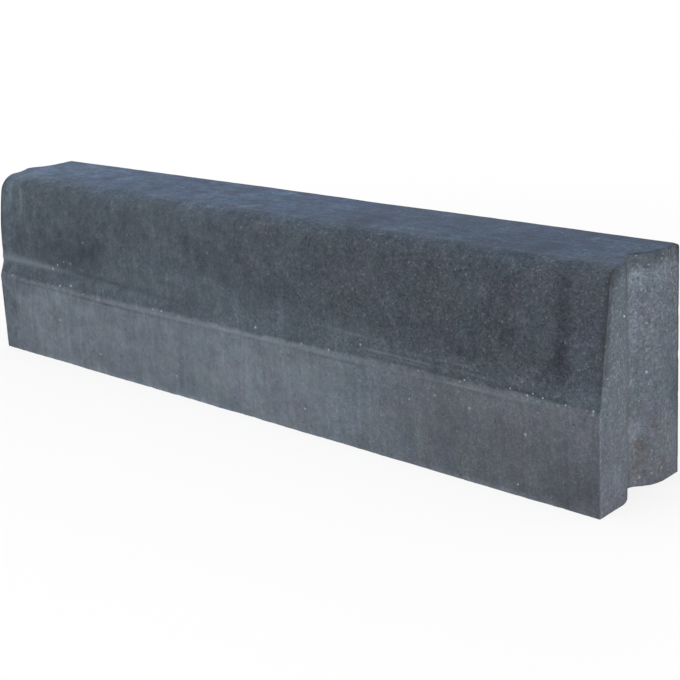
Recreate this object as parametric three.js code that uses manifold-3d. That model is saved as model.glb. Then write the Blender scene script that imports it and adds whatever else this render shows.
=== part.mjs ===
// Concrete kerb stone, cast in one piece.
//
// A straight pavement kerb, 1000 long, 250 high, 150 wide at the base and nearly 130 at the
// top. Its road side stands upright at the foot, steps in at a low ledge and leans back above
// it to a rounded top arris. The ledge is a small step near one end and opens into a hollow
// towards the other. A tongue runs down that end and a matching groove down the first, so that
// stones in a row lock together.
//
// Millimetres. +X runs along the kerb from the tongue to the groove, the road side faces -Y,
// +Z is up, and the origin is the middle of the base, halfway between the two end planes.

import * as THREE from 'three';
import { mergeVertices } from 'three/addons/utils/BufferGeometryUtils.js';
import Module from 'manifold-3d';

// Overall size
const kerbLength = 1000; // between the two end planes, without the tongue
const kerbHeight = 250;
const baseWidth = 150;
const topWidth = 128; // where the leaning face would meet the top, before its arris is rounded

// Arrises along the top
const frontArrisRadius = 25;
const rearArrisRadius = 4;

// Ledge at the top of the upright foot
const ledgeHeight = 107;
const ledgeLift = 7; // how much higher the ledge climbs at the tongue end
const ledgeLiftLength = 220; // length over which that climb dies out

// Road face at the groove end: a small step, then a nearly straight lean
const plainStep = 2; // depth of the step behind the foot
const plainStepHeight = 5; // height over which the step is taken
const plainLowLean = 8; // degrees from upright, just above the step
const plainHighLean = 9; // degrees from upright, just below the arris

// Road face at the tongue end: a hollow above the ledge, with a fuller face over it
const hollowStep = 8.8;
const hollowStepHeight = 24;
const hollowLowLean = -3;
const hollowHighLean = 12;
const hollowLength = 350; // length of the hollow at its full depth
const hollowFadeLength = 550; // length over which it then dies out

// Tongue and groove: a wave in plan, upright over the full height
const waveOffset = 5; // from the middle of the width towards the back
const waveHalfWidth = 40;
const grooveDepth = 18;
const grooveFloorRadius = 15.4;
const jointClearance = 4; // between one stone's tongue and the next one's groove

// Facets
const stationPitch = 25; // spacing of the cross-sections along the kerb
const faceFacets = 8;
const frontArrisFacets = 9;
const rearArrisFacets = 3;
const shoulderFacets = 8;
const tipFacets = 10;

// Worked out from the sizes above
const batter = baseWidth - topWidth;
const tongueDepth = grooveDepth - jointClearance;
const tongueNoseRadius = grooveFloorRadius - jointClearance;
const frontY = -baseWidth / 2;
const tongueEndX = -kerbLength / 2;
const grooveEndX = kerbLength / 2;
const overrun = 10; // how far the long bar is made past each end before its ends are cut

const wasm = await Module();
wasm.setup();

/** Points along an arc, both ends included; angles in degrees, anticlockwise from +X. */
function arcPoints(centreX, centreY, radius, fromAngle, toAngle, facets) {
  const points = [];
  for (let i = 0; i <= facets; i += 1) {
    const angle = THREE.MathUtils.degToRad(THREE.MathUtils.lerp(fromAngle, toAngle, i / facets));
    points.push(
      new THREE.Vector2(centreX + radius * Math.cos(angle), centreY + radius * Math.sin(angle)),
    );
  }
  return points;
}

/** Unit vector that leans back from upright by an angle in degrees. */
function leaning(angle) {
  const radians = THREE.MathUtils.degToRad(angle);
  return new THREE.Vector2(Math.sin(radians), Math.cos(radians));
}

/** The road face's sizes at one place along the kerb. */
function roadFaceAt(x) {
  const fromTongue = x - tongueEndX;
  const { lerp, smoothstep } = THREE.MathUtils;
  const hollow = 1 - smoothstep(fromTongue, hollowLength, hollowLength + hollowFadeLength);
  const lift = 1 - smoothstep(fromTongue, 0, ledgeLiftLength);
  return {
    ledge: ledgeHeight + ledgeLift * lift,
    step: lerp(plainStep, hollowStep, hollow),
    stepHeight: lerp(plainStepHeight, hollowStepHeight, hollow),
    lowLean: lerp(plainLowLean, hollowLowLean, hollow),
    highLean: lerp(plainHighLean, hollowHighLean, hollow),
  };
}

/** Cross-section at one place along the kerb, as (y, z) points, clockwise seen from +X. */
function sectionAt(x) {
  const face = roadFaceAt(x);

  // The rounded arris touches the leaning face and the top at equal distances from their corner.
  const interiorAngle = THREE.MathUtils.degToRad(90 + face.highLean);
  const tangentLength = frontArrisRadius / Math.tan(interiorAngle / 2);
  const topCorner = new THREE.Vector2(batter, kerbHeight);
  const faceTop = topCorner.clone().addScaledVector(leaning(face.highLean), -tangentLength);
  const faceFoot = new THREE.Vector2(face.step, face.ledge + face.stepHeight);
  const handle = (faceTop.y - faceFoot.y) / 3;
  const leaningFace = new THREE.CubicBezierCurve(
    faceFoot,
    faceFoot.clone().addScaledVector(leaning(face.lowLean), handle),
    faceTop.clone().addScaledVector(leaning(face.highLean), -handle),
    faceTop,
  );

  const frontArris = arcPoints(
    batter + tangentLength,
    kerbHeight - frontArrisRadius,
    frontArrisRadius,
    180 - face.highLean,
    90,
    frontArrisFacets,
  );
  const rearArris = arcPoints(
    baseWidth - rearArrisRadius,
    kerbHeight - rearArrisRadius,
    rearArrisRadius,
    90,
    0,
    rearArrisFacets,
  );
  const outline = [
    new THREE.Vector2(0, 0),
    new THREE.Vector2(0, face.ledge),
    ...leaningFace.getPoints(faceFacets),
    ...frontArris.slice(1),
    ...rearArris,
    new THREE.Vector2(baseWidth, 0),
  ];
  return outline.map((point) => new THREE.Vector2(point.x + frontY, point.y));
}

/** The bar with the kerb's cross-section, running past both ends. */
function sectionBar() {
  const startX = tongueEndX - tongueDepth - overrun;
  const barLength = grooveEndX + overrun - startX;
  const stations = Math.ceil(barLength / stationPitch);
  const positions = [];
  for (let i = 0; i <= stations; i += 1) {
    const x = startX + (barLength * i) / stations;
    for (const point of sectionAt(x)) positions.push(x, point.x, point.y);
  }

  const firstSection = sectionAt(startX);
  const count = firstSection.length;
  const index = [];
  for (let i = 0; i < stations; i += 1) {
    for (let j = 0; j < count; j += 1) {
      const a = i * count + j;
      const b = i * count + ((j + 1) % count);
      index.push(a, a + count, b, b, a + count, b + count);
    }
  }
  const capTriangles = THREE.ShapeUtils.triangulateShape(firstSection, []);
  const lastStation = stations * count;
  for (const [a, b, c] of capTriangles) {
    index.push(a, c, b);
    index.push(a + lastStation, b + lastStation, c + lastStation);
  }

  const geometry = new THREE.BufferGeometry();
  geometry.setAttribute('position', new THREE.Float32BufferAttribute(positions, 3));
  geometry.setIndex(index);
  return geometry;
}

/**
 * Plan points of the wave at one end, which swings towards -X by its depth and back: a groove
 * in the groove end, a tongue on the tongue end. travel is +1 from front to back, -1 the other way.
 */
function wavePoints(endX, depth, tipRadius, travel) {
  const shoulderRadius = (waveHalfWidth ** 2 + depth ** 2 - 2 * depth * tipRadius) / (2 * depth);
  const sweepRadians = Math.atan2(waveHalfWidth, shoulderRadius + tipRadius - depth);
  const sweep = THREE.MathUtils.radToDeg(sweepRadians) * travel;
  const shoulderX = endX - shoulderRadius;
  const nearY = waveOffset - travel * waveHalfWidth;
  const farY = waveOffset + travel * waveHalfWidth;
  const near = arcPoints(shoulderX, nearY, shoulderRadius, 0, sweep, shoulderFacets);
  const tip = arcPoints(endX - depth + tipRadius, waveOffset, tipRadius, 180 + sweep, 180 - sweep, tipFacets);
  const far = arcPoints(shoulderX, farY, shoulderRadius, -sweep, 0, shoulderFacets);
  return [...near, ...tip.slice(1, -1), ...far];
}

/** The kerb's plan outline, tongue and groove included, raised past its full height. */
function planBlock() {
  const backY = frontY + baseWidth;
  const outline = new THREE.Shape([
    new THREE.Vector2(tongueEndX, frontY),
    new THREE.Vector2(grooveEndX, frontY),
    ...wavePoints(grooveEndX, grooveDepth, grooveFloorRadius, 1),
    new THREE.Vector2(grooveEndX, backY),
    new THREE.Vector2(tongueEndX, backY),
    ...wavePoints(tongueEndX, tongueDepth, tongueNoseRadius, -1),
  ]);
  const geometry = new THREE.ExtrudeGeometry(outline, {
    depth: kerbHeight + 2 * overrun,
    bevelEnabled: false,
  });
  return geometry.translate(0, 0, -overrun);
}

/** A manifold solid from a closed three.js geometry. */
function toSolid(geometry) {
  const bare = geometry.clone();
  bare.deleteAttribute('normal');
  bare.deleteAttribute('uv');
  const merged = mergeVertices(bare);
  return new wasm.Manifold(
    new wasm.Mesh({
      numProp: 3,
      vertProperties: new Float32Array(merged.attributes.position.array),
      triVerts: new Uint32Array(merged.index.array),
    }),
  );
}

/** A three.js geometry from a manifold solid. */
function toGeometry(solid) {
  const mesh = solid.getMesh();
  const positions = new Float32Array((mesh.vertProperties.length / mesh.numProp) * 3);
  for (let i = 0; i < positions.length / 3; i += 1) {
    for (let axis = 0; axis < 3; axis += 1) {
      positions[i * 3 + axis] = mesh.vertProperties[i * mesh.numProp + axis];
    }
  }
  const geometry = new THREE.BufferGeometry();
  geometry.setAttribute('position', new THREE.BufferAttribute(positions, 3));
  geometry.setIndex(new THREE.BufferAttribute(new Uint32Array(mesh.triVerts), 1));
  geometry.computeVertexNormals();
  return geometry;
}

/** The whole stone: the sectioned bar, cut to the plan with its tongue and groove. */
function kerbStone() {
  const solid = toSolid(sectionBar()).intersect(toSolid(planBlock()));
  const concrete = new THREE.MeshStandardMaterial({
    color: 0x5b6571,
    roughness: 0.92,
    metalness: 0,
  });
  const mesh = new THREE.Mesh(toGeometry(solid), concrete);
  mesh.name = 'kerb_stone';
  return mesh;
}

const kerb = new THREE.Group();
kerb.add(kerbStone());

export default kerb;
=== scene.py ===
"""A cast concrete kerb stone: its worn surface, its concrete finishes and a plain studio.

Metres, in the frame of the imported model: +X runs along the kerb from the tongue to the groove,
the road side faces -Y, +Z is up, and the origin is the middle of the base.
"""

import itertools
import logging
import math
from collections.abc import Sequence
from dataclasses import dataclass, field
from enum import Enum, IntEnum
from functools import cached_property, partial, reduce
from typing import ClassVar

import bmesh
import bpy
import numpy as np
from mathutils import Matrix, Vector


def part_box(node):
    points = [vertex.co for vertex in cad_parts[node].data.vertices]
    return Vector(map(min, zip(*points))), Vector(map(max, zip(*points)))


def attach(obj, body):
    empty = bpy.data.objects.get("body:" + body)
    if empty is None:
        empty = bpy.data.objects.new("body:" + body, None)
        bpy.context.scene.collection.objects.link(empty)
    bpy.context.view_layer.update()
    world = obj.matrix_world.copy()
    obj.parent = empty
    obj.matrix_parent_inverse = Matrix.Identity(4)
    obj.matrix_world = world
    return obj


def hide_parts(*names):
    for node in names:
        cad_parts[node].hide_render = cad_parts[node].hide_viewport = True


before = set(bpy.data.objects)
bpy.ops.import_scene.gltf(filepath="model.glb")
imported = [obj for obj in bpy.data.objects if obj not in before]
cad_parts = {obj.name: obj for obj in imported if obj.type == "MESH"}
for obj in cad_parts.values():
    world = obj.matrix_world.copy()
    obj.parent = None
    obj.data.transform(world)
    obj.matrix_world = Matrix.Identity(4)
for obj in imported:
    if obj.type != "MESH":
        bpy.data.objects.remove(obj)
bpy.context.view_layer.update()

log = logging.getLogger("kerb_stone")

Colour = tuple[float, float, float]
Place = tuple[float, float, float]
Ramp = tuple[float, ...]  # where it starts and ends, then its values there if not 0 and 1
Run = tuple[tuple[float, float], ...]  # places and the values there
Numbers = float | np.ndarray
Socket = bpy.types.NodeSocket
Sockets = bpy.types.NodeOutputs
Coat = tuple[Socket, Socket, Socket]  # colour, roughness and height
Value = Socket | float | tuple[float, ...]

ORIGIN: Place = (0.0, 0.0, 0.0)
WHITE: Colour = (1.0, 1.0, 1.0)
GREY = (0.1, 0.1, 0.1, 1.0)


class Axis(IntEnum):
    """The three directions of the stone."""

    ALONG = 0
    ACROSS = 1
    UP = 2


class Side(IntEnum):
    """The stone's three kinds of surface, in the order of its material slots."""

    ROAD = 0
    END = 1
    HIDDEN = 2


def ease(value: Numbers, start: Numbers, end: Numbers) -> Numbers:
    """Rises softly from 0 at start to 1 at end, or falls where end is the lower one."""
    share = np.clip((value - start) / (end - start), 0.0, 1.0)
    return share * share * (3.0 - 2.0 * share)


def bell(value: Numbers, centre: Numbers, width: Numbers) -> Numbers:
    """Falls off softly on both sides of a centre, where it is 1."""
    return np.exp(-(((value - centre) / width) ** 2))


def read_run(run: Run, places: np.ndarray) -> np.ndarray:
    """Reads a row of (place, value) pairs at other places, straight from one to the next."""
    return np.interp(places, *np.array(run).T)


def round_corner(
    side: np.ndarray, top: np.ndarray, reach: Numbers
) -> tuple[np.ndarray, np.ndarray]:
    """Bends a square corner onto an arc.

    Args:
        side: Distance of each point in from the side face.
        top: Distance of each point below the top face.
        reach: Distance from the corner at which the arc meets each face.

    Returns:
        The two distances after the bend.
    """
    across = np.clip(1.0 - side / reach, 0.0, 1.0)
    up = np.clip(1.0 - top / reach, 0.0, 1.0)
    bent_side = side + reach * across * (1.0 - np.sqrt(1.0 - up**2 / 2.0))
    bent_top = top + reach * up * (1.0 - np.sqrt(1.0 - across**2 / 2.0))
    return bent_side, bent_top


def add_object(name: str, data: bpy.types.ID) -> bpy.types.Object:
    """Makes an object around its data and links it to the scene.

    Args:
        name: What the object is called.
        data: Its mesh, lamp or camera data.

    Returns:
        The object.
    """
    made = bpy.data.objects.new(name, data)
    bpy.context.scene.collection.objects.link(made)
    return made


def take_mesh(name: str, mesh: bmesh.types.BMesh) -> bpy.types.Mesh:
    """Turns a finished bmesh into mesh data and frees it.

    Args:
        name: What the mesh data is called.
        mesh: The finished bmesh.

    Returns:
        The mesh data.
    """
    data = bpy.data.meshes.new(name)
    mesh.to_mesh(data)
    mesh.free()
    return data


@dataclass(frozen=True)
class CastNoise:
    """Smooth uneven relief in space, the same on every run."""

    seed: int
    strides: ClassVar[tuple[int, ...]] = (73856093, 19349663, 83492791)
    seed_stride: ClassVar[int] = 40503
    rounds: ClassVar[tuple[tuple[int, int], ...]] = ((15, 2246822519), (13, 3266489917))

    def corners(self, cells: np.ndarray) -> np.ndarray:
        """Gives each corner of the noise's lattice its own number.

        Args:
            cells: Corners of the lattice, one a row.

        Returns:
            A number from -1 to 1 for each corner.
        """
        mixed = cells @ np.array(self.strides) + self.seed * self.seed_stride
        for shift, factor in self.rounds:
            mixed = ((mixed ^ (mixed >> shift)) * factor) & 0xFFFFFFFF
        return ((mixed ^ (mixed >> 16)) & 0xFFFFFF) / 0x7FFFFF - 1.0

    def bumps(self, places: np.ndarray, size: np.ndarray) -> np.ndarray:
        """Works out one layer of the noise.

        Args:
            places: The points, one a row.
            size: How far apart the bumps are, in all directions or in each.

        Returns:
            A value from -1 to 1 for each place.
        """
        scaled = places / size
        cell = np.floor(scaled).astype(np.int64)
        share = scaled - cell
        share = share * share * (3.0 - 2.0 * share)
        total = np.zeros(len(places))
        for corner in itertools.product((0, 1), repeat=3):
            weight = np.where(np.array(corner) == 1, share, 1.0 - share).prod(axis=1)
            total += weight * self.corners(cell + np.array(corner))
        return total

    def layers(
        self, places: np.ndarray, size: float | Sequence[float], count: int = 1
    ) -> np.ndarray:
        """Adds up layers of noise, each half as wide and half as strong as the one before.

        Args:
            places: The points, one a row.
            size: How far apart the first layer's bumps are, in all directions or in each.
            count: How many layers there are.

        Returns:
            One value for each place, from -1 to 1.
        """
        total = np.zeros(len(places))
        for layer in range(count):
            finer = CastNoise(self.seed + layer)
            total += finer.bumps(places, np.array(size) / 2**layer) / 2**layer
        return total / (2.0 - 0.5 ** (count - 1))


@dataclass(frozen=True)
class Band:
    """A stretch of the block along one axis that is cut into even steps."""

    start: float
    end: float
    pitch: float

    @property
    def cuts(self) -> int:
        """How many cuts fall inside the stretch."""
        return max(0, round((self.end - self.start) / self.pitch) - 1)


@dataclass(frozen=True)
class KerbSize:
    """The stone's overall size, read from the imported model."""

    half_length: float
    half_width: float
    height: float
    tongue_depth: float

    @classmethod
    def from_frame(cls) -> "KerbSize":
        """Reads the size from the CAD node's box."""
        low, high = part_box("kerb_stone")
        return cls(high.x, high.y, high.z, -low.x - high.x)


@dataclass(frozen=True)
class RoadFace:
    """The road side above the foot: a step behind the foot, then a face that leans back."""

    batter: float = 0.022
    arris_reach: float = 0.0213
    end_arris_reach: float = 0.008
    end_arris_fade: float = 0.028
    ledge: float = 0.107
    plain_step: float = 0.002
    plain_step_height: float = 0.005
    plain_low_slope: float = math.tan(math.radians(8))
    plain_high_slope: float = math.tan(math.radians(9))
    hollow_step: float = 0.0088
    hollow_step_height: float = 0.024
    hollow_low_slope: float = math.tan(math.radians(-3))
    hollow_high_slope: float = math.tan(math.radians(12))
    hollow_length: float = 0.35
    hollow_end: float = 0.9
    ledge_line: Run = (
        (0.0, 0.1075), (0.13, 0.1078), (0.165, 0.1066), (0.195, 0.1056), (0.27, 0.1047),
        (0.46, 0.1046), (0.56, 0.1055), (0.66, 0.1052), (0.75, 0.1056), (0.9, 0.1054),
        (1.0, 0.1062),
    )

    def depth(self, along: np.ndarray, up: np.ndarray, height: float) -> np.ndarray:
        """How far the face lies behind the foot.

        Args:
            along: Distance of each point from the tongue end.
            up: Height of each point.
            height: Height of the stone.

        Returns:
            The depth of the face at each point.
        """
        hollow = ease(along, self.hollow_end, self.hollow_length)
        step, rise, low_slope, high_slope = (
            plain + (hollowed - plain) * hollow
            for plain, hollowed in (
                (self.plain_step, self.hollow_step),
                (self.plain_step_height, self.hollow_step_height),
                (self.plain_low_slope, self.hollow_low_slope),
                (self.plain_high_slope, self.hollow_high_slope),
            )
        )
        foot = self.ledge + rise
        shoulder = height - self.arris_reach
        shoulder_depth = self.batter - high_slope * self.arris_reach
        span = shoulder - foot
        part = np.clip((up - foot) / span, 0.0, 1.0)
        face = (
            (2 * part**3 - 3 * part**2 + 1) * step
            + (part**3 - 2 * part**2 + part) * span * low_slope
            + (3 * part**2 - 2 * part**3) * shoulder_depth
            + (part**3 - part**2) * span * high_slope
        )
        stepping = np.clip((up - self.ledge) / rise, 0.0, 1.0) * step
        over = np.clip(up - shoulder, 0.0, None) * high_slope
        return np.where(up < foot, stepping, face + over)


@dataclass(frozen=True)
class JointWave:
    """The wave in plan that makes the groove at one end and the tongue at the other."""

    offset: float = 0.005
    half_width: float = 0.04
    groove_depth: float = 0.018
    groove_tip_radius: float = 0.0154
    fade: float = 0.06

    def depth(self, across: np.ndarray, depth: float, tip_radius: float) -> np.ndarray:
        """How far the wave swings at each place across the stone.

        Args:
            across: Places across the stone.
            depth: The swing at the wave's middle.
            tip_radius: Radius of the wave's tip.

        Returns:
            The swing at each place.
        """
        width = self.half_width
        shoulder = (width**2 + depth**2 - 2 * depth * tip_radius) / (2 * depth)
        sweep = math.atan2(width, shoulder + tip_radius - depth)
        out = np.abs(across - self.offset)
        rest = np.clip(width - out, 0.0, min(width, shoulder))
        side = shoulder - np.sqrt(shoulder**2 - rest**2)
        inner = np.clip(tip_radius**2 - out**2, 0.0, None)
        tip = depth - tip_radius + np.sqrt(inner)
        return np.where(out < tip_radius * math.sin(sweep), tip, side)


@dataclass
class Survey:
    """Every point of the stone, with the measures that its wear goes by."""

    size: KerbSize
    face: RoadFace
    block: np.ndarray
    cast: np.ndarray
    skin: float = 0.002
    top_skin: float = 0.004

    def __post_init__(self) -> None:
        """Measures the points: where they lie, how far from the edges and on which faces."""
        size = self.size
        x, self.across, self.up = self.cast.T
        block_x, block_y, self.block_up = self.block.T
        self.along = x + size.half_length
        self.ledge = read_run(self.face.ledge_line, self.along)
        self.above = self.up - self.ledge
        self.front_gap = block_y + size.half_width
        self.rear_gap = size.half_width - block_y
        self.groove_gap = 2 * size.half_length - self.along
        self.on_front = ease(block_y, -size.half_width + self.skin, -size.half_width)
        self.on_top = ease(self.block_up, size.height - self.top_skin, size.height)
        self.on_road = np.clip(self.on_front + self.on_top, 0.0, 1.0)
        self.on_groove = ease(block_x, size.half_length - self.skin, size.half_length)

    def noise(self, seed: int, size: float | Place, layers: int = 1) -> np.ndarray:
        """One of the stone's own noises at each point."""
        return CastNoise(seed).layers(self.cast, size, layers)

    def edge_nearness(self, reach: float) -> np.ndarray:
        """Works out how near each point lies to an edge of the block.

        Args:
            reach: How far from an edge a point still counts as near.

        Returns:
            The nearness of each point, from 0 to 1 on the edge itself.
        """
        gaps = (
            self.size.half_length - np.abs(self.block[:, Axis.ALONG]),
            self.size.half_width - np.abs(self.block[:, Axis.ACROSS]),
            np.minimum(self.block_up, self.size.height - self.block_up),
        )
        nearest = np.sort(np.column_stack(gaps), axis=1)
        return np.clip(1.0 - (nearest[:, 0] + nearest[:, 1]) / reach, 0.0, 1.0)


@dataclass
class LedgeWear:
    """The ragged lip along the ledge, the painted shadow below it, the dark line above the pale
    foot and the crumbs about it.
    """

    points: Survey
    pale_line: Run = (
        (0.0, 0.1117), (0.07, 0.1105), (0.13, 0.1104), (0.195, 0.11), (0.27, 0.1093),
        (0.36, 0.1105), (0.46, 0.1095), (0.56, 0.1101), (0.66, 0.1108), (0.75, 0.1119),
        (0.83, 0.1117), (0.9, 0.1126), (0.95, 0.1108), (1.0, 0.1105),
    )
    lip_run: Run = (
        (0.15, 0.0), (0.195, 0.05), (0.27, 0.12), (0.36, 0.55), (0.46, 1.1), (0.56, 0.95),
        (0.66, 0.12), (0.75, 0.45), (0.83, 0.8), (0.9, 0.3), (0.965, 0.35),
    )
    lip_shadow_run: Run = (
        (0.01, 0.3), (0.07, 1.2), (0.13, 1.2), (0.195, 1.3), (0.27, 2.0), (0.36, 1.0),
        (0.46, 0.3), (0.56, 0.6), (0.66, 1.3), (0.72, 0.2), (0.77, 0.1), (0.83, 0.7), (0.9, 0.5),
        (0.965, 0.1),
    )
    lip_rise: float = 0.0003
    lip_width: float = 0.0015
    lip_shadow_drop: float = 0.0035
    over_rise: float = 0.0022
    over_width: float = 0.0017
    far_crumbs: float = 0.004
    near_crumbs: float = 0.005
    near_crumbs_rise: float = 0.001

    @cached_property
    def shelf(self) -> np.ndarray:
        """How high the foot's pale colour climbs above the ledge."""
        return read_run(self.pale_line, self.points.along) - self.points.ledge

    @cached_property
    def above_pale(self) -> np.ndarray:
        """How high each point lies above the top of the foot's pale colour."""
        return self.points.above - self.shelf

    @cached_property
    def foot(self) -> np.ndarray:
        """How far each point belongs to the pale foot, with a ragged border."""
        points = self.points
        ragged = 0.0014 * points.noise(21, 0.011) + 0.0008 * points.noise(22, 0.004)
        softness = 0.0028 - 0.0014 * ease(points.along, 0.08, 0.7)
        below = self.shelf + ragged + softness - points.above
        return np.clip(below / (2 * softness), 0.0, 1.0) * points.on_front

    @cached_property
    def lip(self) -> np.ndarray:
        """How far the crumbled lip stands out."""
        points = self.points
        uneven = 0.5 + 0.7 * points.noise(13, (0.014, 0.014, 0.004), 3)
        run = read_run(self.lip_run, points.along)
        return bell(points.above, self.lip_rise, self.lip_width) * run * uneven * points.on_front

    @cached_property
    def lip_shadow(self) -> np.ndarray:
        """Painted shadow in a line just below the lip."""
        points = self.points
        run = read_run(self.lip_shadow_run, points.along)
        line = bell(points.above, -self.lip_shadow_drop, self.lip_width) * run * points.on_front
        return line * (0.75 + 0.5 * points.noise(24, 0.02))

    @cached_property
    def over(self) -> np.ndarray:
        """The dark line just above the pale foot."""
        points = self.points
        run = 0.1 + 0.9 * ease(points.along, 0.72, 0.92)
        line = bell(self.above_pale, self.over_rise, self.over_width) * run * points.on_front
        return line * np.clip(0.6 + 0.8 * points.noise(23, 0.018), 0.0, 1.0)

    @cached_property
    def speckled(self) -> np.ndarray:
        """Where pale crumbs lie about the ledge, near both of its ends."""
        along = self.points.along
        far = bell(self.above_pale, 0.0, self.far_crumbs) * ease(along, 0.8, 0.88)
        near = bell(self.points.above, self.near_crumbs_rise, self.near_crumbs)
        near = near * ease(along, 0.26, 0.18)
        return np.clip(far + near, 0.0, 1.0) * self.points.on_front


@dataclass(frozen=True)
class Scrape:
    """A long pale line where the mould scraped the road side, from one place to another."""

    start: tuple[float, float]
    end: tuple[float, float]
    width: float
    strength: float

    def mask(self, along: np.ndarray, up: np.ndarray) -> np.ndarray:
        """Works out how much of the scrape shows.

        Args:
            along: Distance of each point from the tongue end.
            up: Height of each point.

        Returns:
            The scrape's share at each point.
        """
        height = read_run((self.start, self.end), along)
        run = ease(along, self.start[0] - 0.01, self.start[0] + 0.015)
        run = run * ease(along, self.end[0] + 0.01, self.end[0] - 0.015)
        return self.strength * run * bell(up, height, self.width)


@dataclass
class FaceWear:
    """The seam, the scrapes and the pale haze on the road side above the ledge."""

    points: Survey
    foot: np.ndarray
    seam_line: Run = (
        (0.0, 0.1327), (0.1, 0.1323), (0.195, 0.132), (0.27, 0.1287), (0.36, 0.1262),
        (0.45, 0.125),
    )
    haze_line: Run = (
        (0.0, 0.14), (0.22, 0.178), (0.32, 0.172), (0.45, 0.16), (0.6, 0.15), (0.75, 0.136),
        (1.0, 0.13),
    )
    haze_strength: Run = (
        (0.1, 0.0), (0.2, 0.1), (0.3, 0.4), (0.42, 0.6), (0.48, 0.9), (0.7, 0.9), (0.8, 0.55),
        (1.0, 0.65),
    )
    scrapes: tuple[Scrape, ...] = (
        Scrape((0.2, 0.1395), (0.33, 0.137), 0.003, 0.12),
        Scrape((0.3, 0.1375), (0.43, 0.134), 0.003, 0.14),
        Scrape((0.415, 0.134), (0.51, 0.133), 0.0035, 0.12),
        Scrape((0.52, 0.1375), (0.6, 0.137), 0.004, 0.1),
        Scrape((0.605, 0.1375), (0.64, 0.1362), 0.0016, 0.24),
        Scrape((0.64, 0.1365), (0.7, 0.1345), 0.0014, 0.36),
        Scrape((0.69, 0.1255), (0.8, 0.1262), 0.0011, 0.2),
        Scrape((0.695, 0.1216), (0.795, 0.1205), 0.0014, 1.2),
        Scrape((0.79, 0.1205), (0.875, 0.1192), 0.0016, 0.7),
        Scrape((0.7, 0.1168), (0.79, 0.116), 0.0011, 0.45),
        Scrape((0.74, 0.1282), (0.85, 0.1275), 0.001, 0.3),
    )
    ridge_width: float = 0.0036
    wide_ridge: Run = ((0.05, 0.0072), (0.13, 0.0036))
    crease_width: float = 0.0028
    haze_border: float = 0.01

    @cached_property
    def over_seam(self) -> np.ndarray:
        """How high each point lies above the seam."""
        return self.points.up - read_run(self.seam_line, self.points.along)

    @cached_property
    def ridge(self) -> np.ndarray:
        """The rounded ridge along the seam, from the tongue end on."""
        seam, along = self.over_seam, self.points.along
        width = np.where(seam > 0.0, read_run(self.wide_ridge, along), self.ridge_width)
        return bell(seam, 0.0, width) * ease(along, 0.182, 0.1) * self.points.on_front

    @cached_property
    def crease(self) -> np.ndarray:
        """The crease in which the ridge runs out, dented and painted with shade."""
        along = self.points.along
        crease = bell(self.over_seam, 0.0, self.crease_width) * self.points.on_front
        return crease * ease(along, 0.15, 0.25) * ease(along, 0.43, 0.33)

    @cached_property
    def scraped(self) -> np.ndarray:
        """How much of the mould's scrapes shows."""
        points = self.points
        scraped = sum(scrape.mask(points.along, points.up) for scrape in self.scrapes)
        return scraped * (0.6 + 0.8 * points.noise(33, (0.03, 0.01, 0.003))) * points.on_front

    @cached_property
    def haze(self) -> np.ndarray:
        """How much of the pale haze above the foot lies on each point."""
        points = self.points
        top = read_run(self.haze_line, points.along) + 0.008 * points.noise(27, 0.05, 3)
        haze = ease(points.up, top + self.haze_border, top - self.haze_border)
        haze = haze * (1.0 - self.foot) * points.on_front
        return haze * read_run(self.haze_strength, points.along)


@dataclass(frozen=True)
class Crumb:
    """A pebble or a crumb of cement that stands out of the groove end beside a small hole."""

    across: float
    up: float
    radius: float

    def mask(self, points: Survey, shift: float) -> np.ndarray:
        """Marks the points about the crumb or beside it.

        Args:
            points: The stone's points.
            shift: How far beside the crumb the mark lies, in its own radii.

        Returns:
            The mark at each point, from 0 to 1.
        """
        moved = shift * self.radius
        apart = np.hypot(points.across - self.across + moved, points.up - self.up - moved)
        return bell(apart, 0.0, self.radius) * points.on_groove


@dataclass
class EndWear:
    """The pebbles, small holes and painted shade on the turned-away edges of the groove end."""

    points: Survey
    crumbs: tuple[Crumb, ...] = (
        Crumb(-0.029, 0.1984, 0.0014),
        Crumb(-0.0205, 0.2, 0.001),
        Crumb(0.023, 0.1252, 0.0012),
        Crumb(0.028, 0.0388, 0.0011),
        Crumb(0.0374, 0.0221, 0.0014),
        Crumb(0.0165, 0.0128, 0.0014),
        Crumb(0.0281, 0.0144, 0.001),
        Crumb(0.0332, 0.0696, 0.0013),
        Crumb(-0.042, 0.118, 0.0009),
        Crumb(0.052, 0.168, 0.001),
    )
    shoulder_edge: float = -0.02
    shoulder_width: float = 0.0034
    floor_edge: float = 0.0062
    floor_width: float = 0.0018

    @cached_property
    def pebbles(self) -> np.ndarray:
        """Where the crumbs stand out."""
        return np.max([crumb.mask(self.points, 0.0) for crumb in self.crumbs], axis=0)

    @cached_property
    def holes(self) -> np.ndarray:
        """Where a small hole lies beside each crumb."""
        return np.max([crumb.mask(self.points, 1.0) for crumb in self.crumbs], axis=0)

    @cached_property
    def shaded(self) -> np.ndarray:
        """Painted shade in lines where the groove turns away from the light."""
        across = self.points.across
        shoulder = bell(across, self.shoulder_edge, self.shoulder_width)
        shoulder = shoulder * (0.12 + 0.88 * ease(self.points.up, 0.204, 0.222))
        return shoulder + 0.3 * bell(across, self.floor_edge, self.floor_width)


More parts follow.
